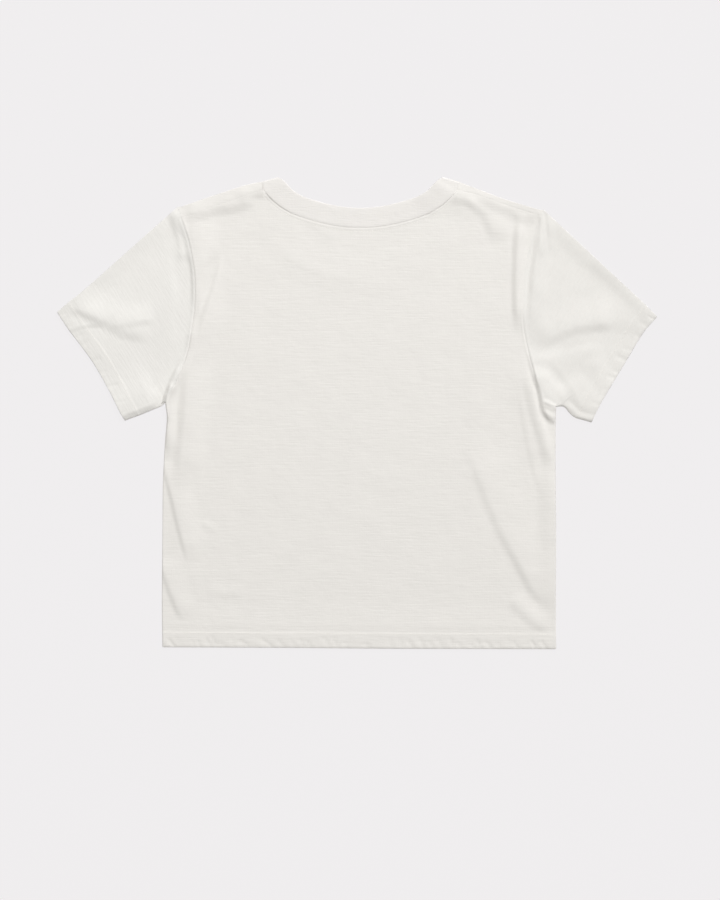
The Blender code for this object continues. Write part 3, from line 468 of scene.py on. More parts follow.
def hem_puckers():
    """Small slanted puckers along the hem and the cuffs, uneven in place and depth."""
    rng = random.Random(PUCKER_SEED)
    puckers = []
    for edge, spacing, slant, depth, deepest in PUCKER_ROWS:
        line = smooth(edge)
        run = lengths(line)
        into = shifted(line, 1.0) - line
        if edge is CUFF_RIGHT:
            into = -into
        at = PUCKER_END
        while at < run[-1] - PUCKER_END:
            foot = np.array([np.interp(at, run, line[:, axis]) for axis in (0, 1)])
            inner = np.array([np.interp(at, run, into[:, axis]) for axis in (0, 1)])
            tangent = np.array((inner[1], -inner[0]))
            low = foot - inner * rng.uniform(0.5, 3.0)
            high = foot + inner * depth * rng.uniform(0.4, 0.85)
            high = high - tangent * slant * rng.uniform(0.5, 1.5)
            height = -rng.uniform(0.1, deepest)
            width = rng.uniform(2.6, 4.4)
            puckers.append(Fold("pucker", height, width, width,
                                [tuple(low), tuple((low + high) / 2), tuple(high)]))
            at += spacing * rng.uniform(0.6, 1.5)
    return puckers


PUCKERS = hem_puckers()


def settle(rise):
    """Keep the upper layer from sinking into the lower one."""
    return (rise + np.sqrt(rise ** 2 + SETTLING)) / 2


def forms_rise(places):
    rise = np.zeros(len(places))
    for form in FORMS:
        add_fold(rise, form, places)
    return rise


def undulation(places):
    """Soft unevenness of cloth that was smoothed by hand, about a tenth of a millimetre."""
    return np.array([sum(row.height * noise.noise(Vector((x / row.wide, y / row.long,
                                                          row.seed))) for row in UNEVEN)
                     for x, y in places])


def top_height(grid):
    """Height of the upper layer's outer face over the ground."""
    places = grid.reshape(-1, 2)
    rise = forms_rise(places)
    for form in CREASES:
        add_fold(rise, form, places)
    height = FLAT_TOP + settle(rise) + HEM_RISE * hem_share(places)
    height += RIB_RISE * rib_share(places) + undulation(places)
    for form in PUCKERS + CLEFTS:
        add_fold(height, form, places)
    for relief in RELIEF:
        line = smooth(relief.line, 6)
        some = near(line, places, relief.at + relief.width)
        away, _, _ = nearest(line, places[some])
        across = np.clip(np.abs(away - relief.at) / relief.width, 0, 1)
        height[some] += relief.height * (0.5 + 0.5 * np.cos(np.pi * across))
    return height.reshape(grid.shape[:2])


def low_height(grid):
    """Height of the lower layer's outer face: it follows the forms above it a little."""
    places = grid.reshape(-1, 2)
    lift = LOWER_LIFT * np.maximum(settle(forms_rise(places)) - LOWER_REST, 0)
    return lift.reshape(grid.shape[:2])


# --- walls -------------------------------------------------------------------------------

def way_in(line, beside, level_rows):
    """The way in from each place of an edge: square to it, or along its level rows."""
    along_row = beside - line
    along_row /= np.hypot(*along_row.T)[:, None]
    square = shifted(line, 1.0) - line
    square *= np.sign((square * along_row).sum(axis=1))[:, None]
    square[level_rows] = along_row[level_rows]
    return square


def closest(grid, column, side):
    """Least distance between two columns of a grid."""
    return np.sqrt(((grid[:, column] - grid[:, side]) ** 2).sum(axis=1)).min()


def with_edges(grid, level_rows, first_edge=EDGE, last_edge=EDGE):
    """Add columns close to both side edges, and give the way inwards at each column."""
    towards = way_in(grid[:, 0], grid[:, 1], level_rows)
    back = way_in(grid[:, -1], grid[:, -2], level_rows)
    insets = list(1 - np.cos(EDGE_TURNS[1:])) + [1]
    first = [grid[:, 0] + first_edge * inset * towards for inset in insets]
    first.append(grid[:, 0] + (first_edge + EDGE_NEXT) * towards)
    last = [grid[:, -1] + last_edge * inset * back for inset in reversed(insets)]
    last.insert(0, grid[:, -1] + (last_edge + EDGE_NEXT) * back)
    kept = [i for i in range(1, grid.shape[1] - 1)
            if closest(grid, i, 0) > first_edge + EDGE_NEXT + EDGE_CLEAR
            and closest(grid, i, -1) > last_edge + EDGE_NEXT + EDGE_CLEAR]
    columns = [grid[:, 0]] + first + [grid[:, i] for i in kept]
    columns += last + [grid[:, -1]]
    places = np.stack(columns, axis=1)
    inward = np.zeros_like(places)
    for i in range(len(insets) + 1):
        inward[:, i] = towards
        inward[:, -1 - i] = back
    turn = np.full(places.shape[:2], np.pi / 2)
    for i, angle in enumerate(EDGE_TURNS):
        turn[:, i] = angle
        turn[:, -1 - i] = angle
    return places, inward, turn


def two_faces(places, outer_height, inner_height, inward, turn, wall, middle, half_gap):
    """Outer and inner points of a wall that turns over towards its edges.

    A turn of 90 degrees is the flat cloth, and 0 is the edge itself, at the middle height.
    """
    lift = np.sin(turn)
    tuck = np.cos(turn)
    edge_height = middle + half_gap * tuck
    outer = np.dstack([places, edge_height + (outer_height - middle) * lift])
    moved = places + inward * (wall * tuck)[..., None]
    inner = np.dstack([moved, edge_height + (inner_height - middle) * lift])
    return outer, inner


def thin_edge(outer, inner, rows):
    """Round the free edge of a hem: the wall's two faces come together over some rows."""
    for row, share in zip(rows, HEM_EDGE_WALL):
        middle = (outer[row] + inner[row]) / 2
        outer[row] = middle + (outer[row] - middle) * share
        inner[row] = middle + (inner[row] - middle) * share


def add_object(name, points, faces, material, node=None):
    """Put a piece into the scene: it rides on the part and may stand for a node."""
    data = bpy.data.meshes.new(name)
    data.from_pydata(((np.asarray(points) + ORIGIN) * MM).tolist(), [], faces)
    mesh = bmesh.new()
    mesh.from_mesh(data)
    bmesh.ops.recalc_face_normals(mesh, faces=mesh.faces)
    mesh.to_mesh(data)
    mesh.free()
    data.shade_smooth()
    data.set_sharp_from_angle(angle=np.radians(50))
    data.materials.append(material)
    piece = bpy.data.objects.new(name, data)
    bpy.context.scene.collection.objects.link(piece)
    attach(piece, "root")
    if node:
        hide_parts(node)
    return piece


def add_wall(name, outer, inner, material, node, tube=False):
    """Close the outer and inner points into one wall. Points that aren't there are NaN."""
    rows, columns = outer.shape[:2]
    there = ~np.isnan(outer[..., 0])
    number = np.cumsum(there).reshape(there.shape) - 1
    total = int(there.sum())
    points = np.vstack([outer[there], inner[there]])
    faces = []
    sides = set()
    for row in range(rows - 1):
        for column in range(columns if tube else columns - 1):
            after = (column + 1) % columns
            cell = [(row, column), (row, after), (row + 1, after), (row + 1, column)]
            if not all(there[corner] for corner in cell):
                continue
            skin = [int(number[corner]) for corner in cell]
            faces.append(skin)
            faces.append([corner + total for corner in reversed(skin)])
            sides.update(zip(skin, skin[1:] + skin[:1]))
    for start, end in sorted(sides):
        if (end, start) not in sides:
            faces.append([end, start, start + total, end + total])
    return add_object(name, points, faces, material, node)


# --- shared seam lines -------------------------------------------------------------------

SHOULDER_SHARES = spaced(104, [(0, 1.3), (40, 1.6), (60, 2.6), (104, 2.6)])
NECK_SHARES = spaced(118, [(0, 2.3), (118, 3.3)])
FRONT_SHOULDER_SHARES = spaced(104, [(0, 3), (104, 5)])
FRONT_NECK_SHARES = spaced(180, [(0, 4), (180, 5)])
SIDE_SPACING = [(0, 2.9), (205, 2.7), (245, 1.4)]
ARMHOLE_SHARES = spaced(232, [(0, 1.2), (40, 1.5), (60, 2.3), (215, 2.3), (226, 0.9),
                              (232, 0.8)])
FRONT_ARMHOLE_SHARES = np.concatenate([[0, 0.006], spaced(235, [(0, 4), (235, 5)])[1:-2],
                                       [0.95, 1]])
HEM_DEPTHS = HEM_ROWS + [1.8, 3, 4.4, 6, 7.6, 9.2, 10.8, 12.4, 13.8, 14.9, 15.7, 16.4]
ABOVE_HEM = [1.3, 2.1, 3.0, 4.2, 5.8, 7.6, 9.6, 11.6]
FRONT_DEPTHS = HEM_ROWS + [4, 8.5, 13]
FRONT_ABOVE = [3, 6.5]
CUFF_DEPTHS = [0.7, 1.5, 2.4, 3.6, 5.2, 7, 9, 11, 13, 14.6, 15.8]


def back_top():
    """The back panel's top seam, from the left armhole over the neck to the right one."""
    left = along(SHOULDER_SEAM_LEFT, SHOULDER_SHARES)
    neck, _ = mirrored_neck(BACK_NECK, NECK_SHARES)
    right = along(SHOULDER_SEAM_RIGHT[::-1], 1 - SHOULDER_SHARES[::-1])
    return np.vstack([left, neck[1:], right[1:]])


def row_of(left, right, shoulder_shares, neck_shares, neck_start):
    """A level row across the body, with columns for its shoulders and its neck."""
    width = 1 - 2 * neck_start
    half = neck_start + neck_shares * width / 2
    share = np.concatenate([shoulder_shares * neck_start, half[1:], (1 - half[::-1])[1:],
                            (1 - shoulder_shares[::-1] * neck_start)[1:]])
    return left + share[:, None] * (right - left)


def body_below_armpits(shoulder_shares, neck_shares, neck_start, corners, depths, above,
                       spacing):
    """Rows of places from the hem up to the armpits, and how many lie on the hem."""
    hem = depths + [BODY_HEM]
    rise = hem + [BODY_HEM + STEP] + [BODY_HEM + more for more in above]
    full = ARMPIT_LEFT.y
    rest = full - rise[-1]
    shares = np.concatenate([rise, rise[-1] + rest * spaced(rest, spacing)[1:]]) / full
    left = along(SIDE_LEFT, shares)
    right = along(SIDE_RIGHT, shares)
    left[-1], right[-1] = corners
    top = row_of(left[-1], right[-1], shoulder_shares, neck_shares, neck_start)
    level = row_of(left[0], right[0], shoulder_shares, neck_shares, neck_start)
    hem_line = smooth(HEM_EDGE)
    bottom = np.column_stack([level[:, 0],
                              np.interp(level[:, 0], hem_line[:, 0], hem_line[:, 1])])
    return patch(bottom, top, left, right, 1.0), len(hem)


def body_walls(rows, hem_rows):
    """Wall thickness at each row of a panel."""
    wall = np.full(rows, WALL)
    wall[:hem_rows] = HEM_WALL
    return wall[:, None]


def armhole_of_body(points, shares, sign):
    """An armhole seam as the body has it, half the seam gap inside the line."""
    return shifted(along(points, shares), sign * SEAM_GAP / 2)


def side_middle(places):
    """Height of the side seam, half way up the two layers."""
    share = hem_share(places.reshape(-1, 2)).reshape(places.shape[:2])
    return SIDE_MIDDLE + HEM_RISE / 2 * share


# --- pieces ------------------------------------------------------------------------------

def make_back(material):
    left = armhole_of_body(ARMHOLE_LEFT, ARMHOLE_SHARES, -1)
    right = armhole_of_body(ARMHOLE_RIGHT, ARMHOLE_SHARES, 1)
    lower, hem_rows = body_below_armpits(SHOULDER_SHARES, NECK_SHARES, BACK_NECK_START,
                                         (left[0], right[0]), HEM_DEPTHS, ABOVE_HEM,
                                         SIDE_SPACING)
    top = shifted(back_top(), -SEAM_GAP / 2)
    top[0, 0] += SEAM_GAP / 2
    top[-1, 0] -= SEAM_GAP / 2
    left[-1], right[-1] = top[0], top[-1]
    upper = patch(lower[-1], top, left, right, ARMHOLE_REACH)
    places, inward, turn = with_edges(np.vstack([lower, upper[1:]]), slice(None))
    turn[len(lower):] = np.pi / 2
    wall = body_walls(len(places), hem_rows)
    height = top_height(places)
    outer, inner = two_faces(places, height, height - wall, inward, turn, wall,
                             side_middle(places), SEAM_GAP / 2)
    thin_edge(outer, inner, range(len(HEM_ROWS)))
    return add_wall("back_panel", outer, inner, material, "back")


def downward(fold, seam):
    """The way from each place on a shoulder's fold to the seam below it."""
    way = seam - fold
    return way / np.hypot(*way.T)[:, None]


STRIP_TURNS = np.radians([-90, -67.5, -45, -22.5, 0, 22.5, 45, 67.5, 90])
STRIP_SHARES = [0.06, 0.25, 0.5, 0.7, 0.85, 1]


def shoulder_turn(fold, seam):
    """Rows that take the front over a shoulder fold and down to the shoulder seam."""
    down = downward(fold, seam)
    rows = [(fold + down * FOLD_EDGE * (1 - np.cos(turn)), turn) for turn in STRIP_TURNS]
    flat = rows[-1][0]
    rows += [(flat + share * (seam - flat), np.pi / 2) for share in STRIP_SHARES]
    outer, inner = [], []
    for places, turn in rows:
        top = top_height(places[None])[0]
        middle = top / 2
        lift = np.sin(turn)
        outer.append(np.column_stack([places, middle + lift * middle]))
        moved = places + down * WALL * np.cos(turn)
        inner.append(np.column_stack([moved, middle + lift * (middle - WALL)]))
    return outer, inner


def shoulder_lines(fold_points, seam_points, shares):
    """Fold and seam of one shoulder strip, kept off the sleeve and off the neck rib."""
    fold = along(fold_points, shares)
    seam = shifted(along(seam_points, shares), SEAM_GAP / 2)
    for line in (fold, seam):
        line[0, 0] += SEAM_GAP / 2
        line[-1, 0] -= SEAM_GAP / 2
    return fold, seam


def edge_columns(line, at_start):
    """A polyline with the extra places that a panel's grid has close to its side."""
    first = line if at_start else line[::-1]
    ahead = first[1] - first[0]
    ahead /= np.hypot(*ahead)
    insets = list(FOLD_EDGE * (1 - np.cos(EDGE_TURNS[1:]))) + [FOLD_EDGE,
                                                               FOLD_EDGE + EDGE_NEXT]
    full = np.vstack([first[:1], [first[0] + inset * ahead for inset in insets], first[1:]])
    return full if at_start else full[::-1]


def make_front(material):
    shares = FRONT_SHOULDER_SHARES
    fold_left, seam_left = shoulder_lines(SHOULDER_FOLD_LEFT, SHOULDER_SEAM_LEFT, shares)
    fold_right, seam_right = shoulder_lines(SHOULDER_FOLD_RIGHT[::-1],
                                            SHOULDER_SEAM_RIGHT[::-1], 1 - shares[::-1])
    left = armhole_of_body(FRONT_ARMHOLE_LEFT, FRONT_ARMHOLE_SHARES, -1)
    right = armhole_of_body(FRONT_ARMHOLE_RIGHT, FRONT_ARMHOLE_SHARES, 1)
    for line, points, sign in ((left, ARMHOLE_LEFT, -1), (right, ARMHOLE_RIGHT, 1)):
        line[:2] = armhole_of_body(points, ARMHOLE_SHARES, sign)[:2]
    lower, hem_rows = body_below_armpits(shares, FRONT_NECK_SHARES, FRONT_NECK_START,
                                         (left[0], right[0]), FRONT_DEPTHS, FRONT_ABOVE,
                                         [(0, 5), (245, 4)])
    neck, _ = mirrored_neck(FRONT_NECK, FRONT_NECK_SHARES)
    neck = shifted(neck, -SEAM_GAP / 2)
    top = np.vstack([fold_left + FOLD_EDGE * downward(fold_left, seam_left), neck[1:-1],
                     fold_right + FOLD_EDGE * downward(fold_right, seam_right)])
    left[-2:] = seam_left[0], top[0]
    right[-2:] = seam_right[-1], top[-1]
    upper = patch(lower[-1], top, left, right, ARMHOLE_REACH)
    places, inward, turn = with_edges(np.vstack([lower, upper[1:]]), slice(None))
    turn[len(lower):] = np.pi / 2
    wall = body_walls(len(places), hem_rows)
    height = low_height(places)
    outer, inner = two_faces(places, height, height + wall, inward, turn, wall,
                             side_middle(places), -SEAM_GAP / 2)
    thin_edge(outer, inner, range(len(HEM_ROWS)))

    # the strips over the shoulders, only as wide as the shoulders
    extra = len(STRIP_TURNS) + len(STRIP_SHARES) - 1
    extra_outer = np.full((extra,) + outer.shape[1:], np.nan)
    extra_inner = np.full_like(extra_outer, np.nan)
    for fold, seam, at_left in ((fold_left, seam_left, True), (fold_right, seam_right, False)):
        fold_line, seam_line = [edge_columns(line, at_left) for line in (fold, seam)]
        strip_outer, strip_inner = shoulder_turn(fold_line, seam_line)
        count = len(fold_line)
        span = slice(0, count) if at_left else slice(outer.shape[1] - count, outer.shape[1])
        outer[-1, span], inner[-1, span] = strip_outer[0], strip_inner[0]
        for row in range(extra):
            extra_outer[row, span] = strip_outer[row + 1]
            extra_inner[row, span] = strip_inner[row + 1]
    return add_wall("front_panel", np.vstack([outer, extra_outer]),
                    np.vstack([inner, extra_inner]), material, "front")


def sleeve_plan(armhole, fold, underarm, cuff, shares):
    """Rows of places from the armhole to the cuff, each from the fold to the underarm."""
    run = lengths(armhole) / lengths(armhole)[-1]
    cuff_line = along(cuff, run)
    fold_length = lengths(smooth(fold))[-1]
    under_length = lengths(smooth(underarm))[-1]
    fold_line = along(fold, shares * (1 - (CUFF_HEM + STEP) / fold_length))
    under_line = along(underarm, shares * (1 - (CUFF_HEM + STEP) / under_length))
    fold_line[0], under_line[0] = armhole[0], armhole[-1]
    start, end = fold_line[-1] - cuff_line[0], under_line[-1] - cuff_line[-1]
    inwards = (1 - run[:, None]) * start + run[:, None] * end
    inwards /= CUFF_HEM + STEP
    stitch = cuff_line + inwards * (CUFF_HEM + STEP)
    upper = patch(fold_line, under_line, armhole, stitch, SLEEVE_REACH).transpose(1, 0, 2)
    depths = [CUFF_HEM] + [CUFF_HEM - depth for depth in CUFF_DEPTHS] + HEM_ROWS[::-1]
    hem = [cuff_line + inwards * depth for depth in depths]
    return np.vstack([upper, np.array(hem)])


def sleeve_armhole(body_line, shoulder, sign):
    """The back armhole as the sleeve has it: from the fold over the strip, then down."""
    moved = shifted(along(body_line, ARMHOLE_SHARES), sign * SEAM_GAP / 2)[::-1]
    moved[0] = np.array(body_line[-1]) - (sign * SEAM_GAP / 2, 0)
    start = np.array(shoulder) - (sign * SEAM_GAP / 2, 0)
    size = distance(start, moved[0])
    strip = [start + share * (moved[0] - start)
             for share in spaced(size, [(0, 1.8), (size, 1.4)])[:-1]
             if share == 0 or share * size > FOLD_EDGE + 0.6]
    return np.vstack([strip, moved]), len(strip)


def make_sleeve(name, sign, back_line, front_line, shoulder, fold, underarm, cuff, material):
    armhole, strip = sleeve_armhole(back_line, shoulder, sign)
    front = shifted(along(front_line, FRONT_ARMHOLE_SHARES), sign * SEAM_GAP / 2)[::-1]
    front[:2] = armhole[0], armhole[strip]
    front[-2:] = armhole[-2:]
    shares = spaced(125, [(0, 0.9), (8, 1.2), (30, 1.8), (110, 2.2), (125, 1.0)])
    rows = len(shares) + len(HEM_ROWS) + len(CUFF_DEPTHS) + 1
    level = np.array([0, *range(len(shares) - 1, rows)])
    upper, inward, turn = with_edges(sleeve_plan(armhole, fold, underarm, cuff, shares), level,
                                     FOLD_EDGE, UNDER_EDGE)
    lower, lower_inward, lower_turn = with_edges(
        sleeve_plan(front, fold, underarm, cuff, shares), level, FOLD_EDGE, UNDER_EDGE)
    wall = np.full(rows, WALL)
    wall[len(shares):] = HEM_WALL
    wall = wall[:, None]
    height = top_height(upper)
    outer_up, inner_up = two_faces(upper, height, height - wall, inward, turn, wall,
                                   height / 2, 0)
    below = low_height(lower)
    outer_low, inner_low = two_faces(lower, below, below + wall, lower_inward, lower_turn,
                                     wall, top_height(lower) / 2, 0)
    outer = np.concatenate([outer_up, outer_low[:, -2:0:-1]], axis=1)
    inner = np.concatenate([inner_up, inner_low[:, -2:0:-1]], axis=1)
    thin_edge(outer, inner, range(rows - 1, rows - 1 - len(HEM_ROWS), -1))
    return add_wall(name, outer, inner, material, name.replace("_cloth", ""), tube=True)


# The rib's section: share of its width from the seam, and thickness in halves of its wall
RIB_PROFILE = [(0.0, 0.25), (0.02, 0.0), (0.3, 0.0), (0.62, 0.0), (0.95, 0.0), (0.98, 0.1),
               (0.995, 0.4), (1.0, 1.0), (0.996, 1.6), (0.985, 1.88), (0.96, 2.0),
               (0.8, 2.08), (0.62, 2.12), (0.42, 2.14), (0.25, 2.18), (0.14, 2.28),
               (0.07, 2.24), (0.025, 2.05), (0.0, 1.75)]


def make_rib(material):
    inner_radius = FOLD_TOP / 2 - RIB_WALL
    seam, edge = mirrored_neck(BACK_NECK, NECK_SHARES)
    seam = shifted(seam, SEAM_GAP / 2)
    sections = []

    def add_flat(seam_place, edge_place, axis_height, way):
        sections.append((seam_place, edge_place, axis_height, np.array((0, 0, way))))

    def add_turn(sign, angles):
        seam_place = np.array((NECK_CENTRE + sign * (NECK_FOLD.seam_x + 0.4),
                               NECK_FOLD.seam_y))
        edge_place = np.array((NECK_CENTRE + sign * NECK_FOLD.edge_x, NECK_FOLD.edge_y))
        line = edge_place - seam_place
        outward = np.array((-line[1], line[0])) * -sign
        outward /= np.hypot(*outward)
        for angle in np.radians(angles):
            way = np.array((*(outward * np.cos(angle)), np.sin(angle)))
            axis = FOLD_TOP / 2 * outward
            sections.append((seam_place - axis, edge_place - axis, FOLD_TOP / 2, way))

    across = np.linspace(0, 1, 6)[None, :, None]
    below = seam[:, None] * (1 - across) + edge[:, None] * across
    on_rib = rib_share(below.reshape(-1, 2)).reshape(below.shape[:2])
    heights = (top_height(below) + RIB_ON_RIB * on_rib).max(axis=1)
    heights[0] = heights[-1] = FOLD_TOP
    for _ in range(RIB_EVENING):
        heights[1:-1] = (heights[:-2] + 2 * heights[1:-1] + heights[2:]) / 4
    for place, other, height in zip(seam, edge, heights):
        add_flat(place, other, height - FOLD_TOP / 2, 1)
    add_turn(1, range(90, -91, -15))
    front_seam, front_edge = mirrored_neck(FRONT_NECK, FRONT_NECK_SHARES)
    front_seam = shifted(front_seam, SEAM_GAP / 2)
    for place, other in list(zip(front_seam, front_edge))[-2:0:-1]:
        add_flat(place, other, FOLD_TOP / 2, -1)
    add_turn(-1, range(-90, 91, 15))

    points = []
    for seam_place, edge_place, axis_height, way in sections:
        for share, thick in RIB_PROFILE:
            if way[2] < 0:
                thick = min(thick, 2.0)
            place = seam_place + share * (edge_place - seam_place)
            foot = np.array((*place, axis_height))
            points.append(foot + way * (inner_radius + thick * RIB_WALL / 2))
    count = len(RIB_PROFILE)
    faces = []
    for ring in range(len(sections)):
        after = (ring + 1) % len(sections)
        for i in range(count):
            j = (i + 1) % count
            faces.append([ring * count + i, ring * count + j, after * count + j,
                          after * count + i])
    return add_object("neck_rib_cloth", points, faces, material, "neck_rib")


# --- stitches ----------------------------------------------------------------------------

Thread = namedtuple("Thread", "name line off pitch length width sheet")
THREADS = [
    Thread("neck_stitches", neck_line(BACK_NECK), -4.1, 3.0, 2.2, 0.24, "back"),
    Thread("hem_stitches", HEM_EDGE, 16.4, 3.2, 2.4, 0.26, "back"),
    Thread("cuff_stitches_left", CUFF_LEFT, 17.2, 3.2, 2.4, 0.26, "left"),
    Thread("cuff_stitches_right", CUFF_RIGHT, -17.2, 3.2, 2.4, 0.26, "right"),
]
STITCH_SECTION = [(-1.0, 0.35), (-0.75, 0.85), (0.0, 1.0), (0.75, 0.85), (1.0, 0.35)]


def make_stitches(thread, material):
    """A row of short raised stitches that lie on the cloth's upper face."""
    line = shifted(smooth(thread.line), thread.off)
    run = lengths(line)
    middles = np.arange(thread.pitch, run[-1] - thread.pitch, thread.pitch)
    steps = np.array([[along_share * thread.length / 2 for along_share, _ in STITCH_SECTION]])
    at = middles[:, None] + steps
    places = np.dstack([np.interp(at, run, line[:, axis]) for axis in (0, 1)])
    heights = top_height(places)
    points, faces = [], []
    for stitch, height in zip(places, heights):
        ahead = stitch[-1] - stitch[0]
        ahead /= np.hypot(*ahead)
        across = np.array((-ahead[1], ahead[0]))
        base = len(points)
        for place, z, (_, size) in zip(stitch, height, STITCH_SECTION):
            for turn in np.radians(range(0, 360, 60)):
                side = across * np.cos(turn) * thread.width * size
                points.append((*(place + side), z + np.sin(turn) * thread.width * 0.8 * size))
        rings = len(STITCH_SECTION)
        for ring in range(rings - 1):
            for i in range(6):
                j = (i + 1) % 6
                faces.append([base + ring * 6 + i, base + ring * 6 + j,
                              base + ring * 6 + 6 + j, base + ring * 6 + 6 + i])
        faces.append([base + i for i in range(6)])
        faces.append([base + (rings - 1) * 6 + i for i in reversed(range(6))])
    return add_object(thread.name, points, faces, material)


# --- materials ---------------------------------------------------------------------------

def node(tree, kind, inputs=None, **settings):
    """Add a shader node, set its sockets and its settings, and link sockets given as such."""
    made = tree.nodes.new(kind)
    for name, value in settings.items():
        setattr(made, name, value)
    for name, value in (inputs or {}).items():
        socket = made.inputs[name]
        if isinstance(value, bpy.types.NodeSocket):
            tree.links.new(value, socket)
        else:
            socket.default_value = value
    return made


def new_material(name, **sockets):
    """A material, with its tree and its shader."""
    material = bpy.data.materials.new(name)
    material.use_nodes = True
    tree = material.node_tree
    shader = tree.nodes["Principled BSDF"]
    for socket, value in sockets.items():
        shader.inputs[socket.replace("_", " ")].default_value = value
    return material, tree, shader


def maths(tree, first, second, operation):
    """The outcome of a math node on two values."""
    made = node(tree, "ShaderNodeMath", {0: first, 1: second}, operation=operation)
    return made.outputs["Value"]


def tint(tree, shader, colour, tone):
    """Scale the colour by the tone, and give it to the shader."""
    tinted = node(tree, "ShaderNodeVectorMath", {0: colour, "Scale": tone.outputs["Result"]},
                  operation="SCALE")
    tree.links.new(tinted.outputs["Vector"], shader.inputs["Base Color"])


def bumps(tree, shader, rows):
    """Bumps one on another, each with its height, strength and distance."""
    normal = {}
    for height, strength, depth in rows:
        bump = node(tree, "ShaderNodeBump", {"Height": height, "Strength": strength,
                                             "Distance": depth, **normal})
        normal = {"Normal": bump.outputs["Normal"]}
    tree.links.new(bump.outputs["Normal"], shader.inputs["Normal"])


def cloth_material(name, colour, turn, slub, knit, mottle=0.03):
    """Knitted cotton: wales along the grain, slubs across it, and a faint mottle.

    slub and knit are the sizes in metres of a slub (length, width) and of the knit's
    wales and courses.
    """
    material, tree, shader = new_material(name, Roughness=0.95, Specular_IOR_Level=0.15,
                                          Sheen_Weight=0.12, Sheen_Roughness=0.6)
    place = node(tree, "ShaderNodeTexCoord").outputs["Object"]
    grain = node(tree, "ShaderNodeMapping", {"Vector": place, "Rotation": (0, 0, turn)})
    grain = grain.outputs["Vector"]
    stretched = node(tree, "ShaderNodeMapping",
                     {"Vector": grain, "Scale": (1 / slub[0], 1 / slub[1], 1 / slub[0])})

    def noise_of(vector, scale, detail, **more):
        made = node(tree, "ShaderNodeTexNoise", {"Vector": vector, "Scale": scale,
                                                 "Detail": detail, **more})
        return made.outputs["Fac"]

    streak = noise_of(stretched.outputs["Vector"], 1.0, 3.0, Roughness=0.55)
    patchy = noise_of(grain, 38.0, 4.0, Roughness=0.6)
    fine = noise_of(grain, 900.0, 2.0)
    total = maths(tree, maths(tree, streak, patchy, "ADD"), fine, "ADD")
    tint(tree, shader, colour, node(tree, "ShaderNodeMapRange",
                                    {"Value": total, "From Min": 0.9, "From Max": 2.1,
                                     "To Min": 1 - mottle, "To Max": 1 + mottle}))
    wales, courses = [
        node(tree, "ShaderNodeTexWave",
             {"Vector": grain, "Scale": 1 / size / 20 * 6.2832 / 2, "Distortion": 1.2,
              "Detail": 1.0, "Detail Scale": 1.5}, bands_direction=way).outputs["Fac"]
        for size, way in zip(knit, "XY")]
    loops = maths(tree, wales, courses, "MULTIPLY")
    bumps(tree, shader, [(loops, 0.2, 0.0001), (streak, 0.5, 0.0005), (patchy, 0.5, 0.0012)])
    return material


def thread_material(name, colour):
    """Twisted sewing thread."""
    material, tree, shader = new_material(name, Roughness=0.7)
    place = node(tree, "ShaderNodeTexCoord").outputs["Object"]
    strands = node(tree, "ShaderNodeTexWave", {"Vector": place, "Scale": 900.0,
                                               "Distortion": 1.0}, bands_direction="DIAGONAL")
    strands = strands.outputs["Fac"]
    tint(tree, shader, colour, node(tree, "ShaderNodeMapRange",
                                    {"Value": strands, "To Min": 0.92, "To Max": 1.04}))
    bumps(tree, shader, [(strands, 0.4, 0.00008)])
    return material


# --- studio ------------------------------------------------------------------------------

FLOOR_SIZE = 60.0
FLOOR_COLOUR = (0.871, 0.855, 0.863)
FLOOR_GLOW = 0.96     # share of the floor's brightness that doesn't depend on the lights
VIEW_CENTRE = (0.8, 222.3)
VIEW_WIDTH = 0.8064
CAMERA_HEIGHT = 4.0
SENSOR = 36.0


def make_floor():
    data = bpy.data.meshes.new("floor")
    half = FLOOR_SIZE / 2
    data.from_pydata([(-half, -half, 0), (half, -half, 0), (half, half, 0), (-half, half, 0)],
                     [], [(0, 1, 2, 3)])
    floor = bpy.data.objects.new("floor", data)
    floor.location.z = -0.0003
    bpy.context.scene.collection.objects.link(floor)
    material, _, _ = new_material(
        "floor", Base_Color=tuple((1 - FLOOR_GLOW) * c for c in FLOOR_COLOUR) + (1,),
        Roughness=1.0, Specular_IOR_Level=0.0, Emission_Color=FLOOR_COLOUR + (1,),
        Emission_Strength=FLOOR_GLOW)
    data.materials.append(material)
    return floor


Lamp = namedtuple("Lamp", "name place size power colour")
LAMPS = [Lamp("key", (2.15, 3.72, 4.0), 2.6, 254, (1.0, 1.0, 1.0)),
         Lamp("fill", (-1.3, 0.5, 2.7), 2.2, 20.5, (1.0, 0.99, 0.97))]
SKY_COLOUR = (1.0, 0.985, 0.95, 1)
SKY_STRENGTH = 0.318


def make_light(name, place, size, power, colour):
    """A round soft light that is aimed at the middle of the floor."""
    data = bpy.data.lights.new(name, "AREA")
    data.shape = "DISK"
    data.size = size
    data.energy = power
    data.color = colour
    light = bpy.data.objects.new(name, data)
    light.location = place
    light.rotation_euler = (-Vector(place)).to_track_quat("-Z", "Y").to_euler()
    bpy.context.scene.collection.objects.link(light)


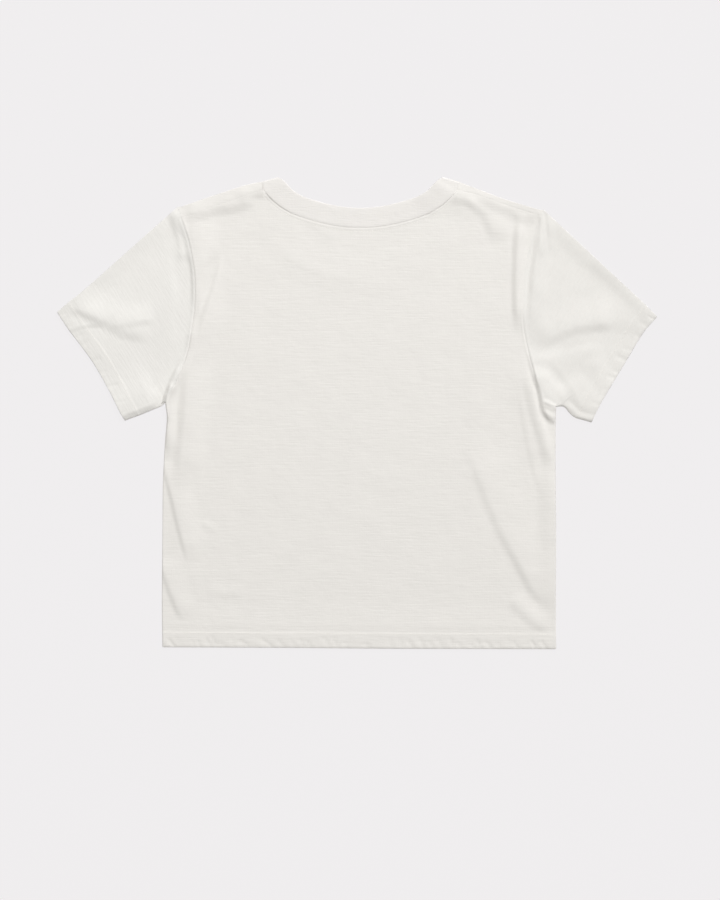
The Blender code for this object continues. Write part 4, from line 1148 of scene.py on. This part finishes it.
def make_studio():
    make_floor()
    for lamp in LAMPS:
        make_light(*lamp)
    world = bpy.data.worlds.new("studio")
    bpy.context.scene.world = world
    world.use_nodes = True
    sky = world.node_tree.nodes["Background"]
    sky.inputs["Color"].default_value = SKY_COLOUR
    sky.inputs["Strength"].default_value = SKY_STRENGTH
    data = bpy.data.cameras.new("camera")
    data.sensor_fit = "HORIZONTAL"
    data.sensor_width = SENSOR
    data.lens = SENSOR * CAMERA_HEIGHT / VIEW_WIDTH
    data.clip_end = 30
    camera = bpy.data.objects.new("camera", data)
    camera.location = ((VIEW_CENTRE[0] + ORIGIN[0]) * MM, (VIEW_CENTRE[1] + ORIGIN[1]) * MM,
                       CAMERA_HEIGHT)
    bpy.context.scene.collection.objects.link(camera)
    bpy.context.scene.camera = camera
    bpy.context.scene.view_settings.view_transform = "Standard"


def main():
    make_studio()
    body = cloth_material("jersey_body", (0.834, 0.815, 0.787), 0.0, (0.026, 0.0024),
                          (0.0010, 0.0012))
    # The sleeves are the same jersey as the body. The left sleeve's colour is painted a little
    # lighter and the right sleeve's a little darker: painted light and shade for how the two
    # sleeves lie to the light.
    left = cloth_material("jersey_sleeve_left", (0.836, 0.823, 0.797), 1.01, (0.020, 0.0024),
                          (0.0010, 0.0012))
    right = cloth_material("jersey_sleeve_right", (0.826, 0.811, 0.784), -1.016,
                           (0.020, 0.0024), (0.0010, 0.0012))
    rib = cloth_material("rib_knit", (0.832, 0.811, 0.788), 0.0, (0.012, 0.0012),
                         (0.0016, 0.0012), 0.02)
    thread = thread_material("sewing_thread", (0.86, 0.84, 0.80))

    front = make_front(body)
    back = make_back(body)
    sleeve_left = make_sleeve("sleeve_left_cloth", 1, ARMHOLE_LEFT, FRONT_ARMHOLE_LEFT,
                              SHOULDER_LEFT, SLEEVE_FOLD_LEFT, UNDERARM_LEFT, CUFF_LEFT, left)
    sleeve_right = make_sleeve("sleeve_right_cloth", -1, ARMHOLE_RIGHT, FRONT_ARMHOLE_RIGHT,
                               SHOULDER_RIGHT, SLEEVE_FOLD_RIGHT, UNDERARM_RIGHT, CUFF_RIGHT,
                               right)
    neck = make_rib(rib)
    stitches = {}
    for row in THREADS:
        stitches.setdefault(row.sheet, []).append(make_stitches(row, thread))


main()
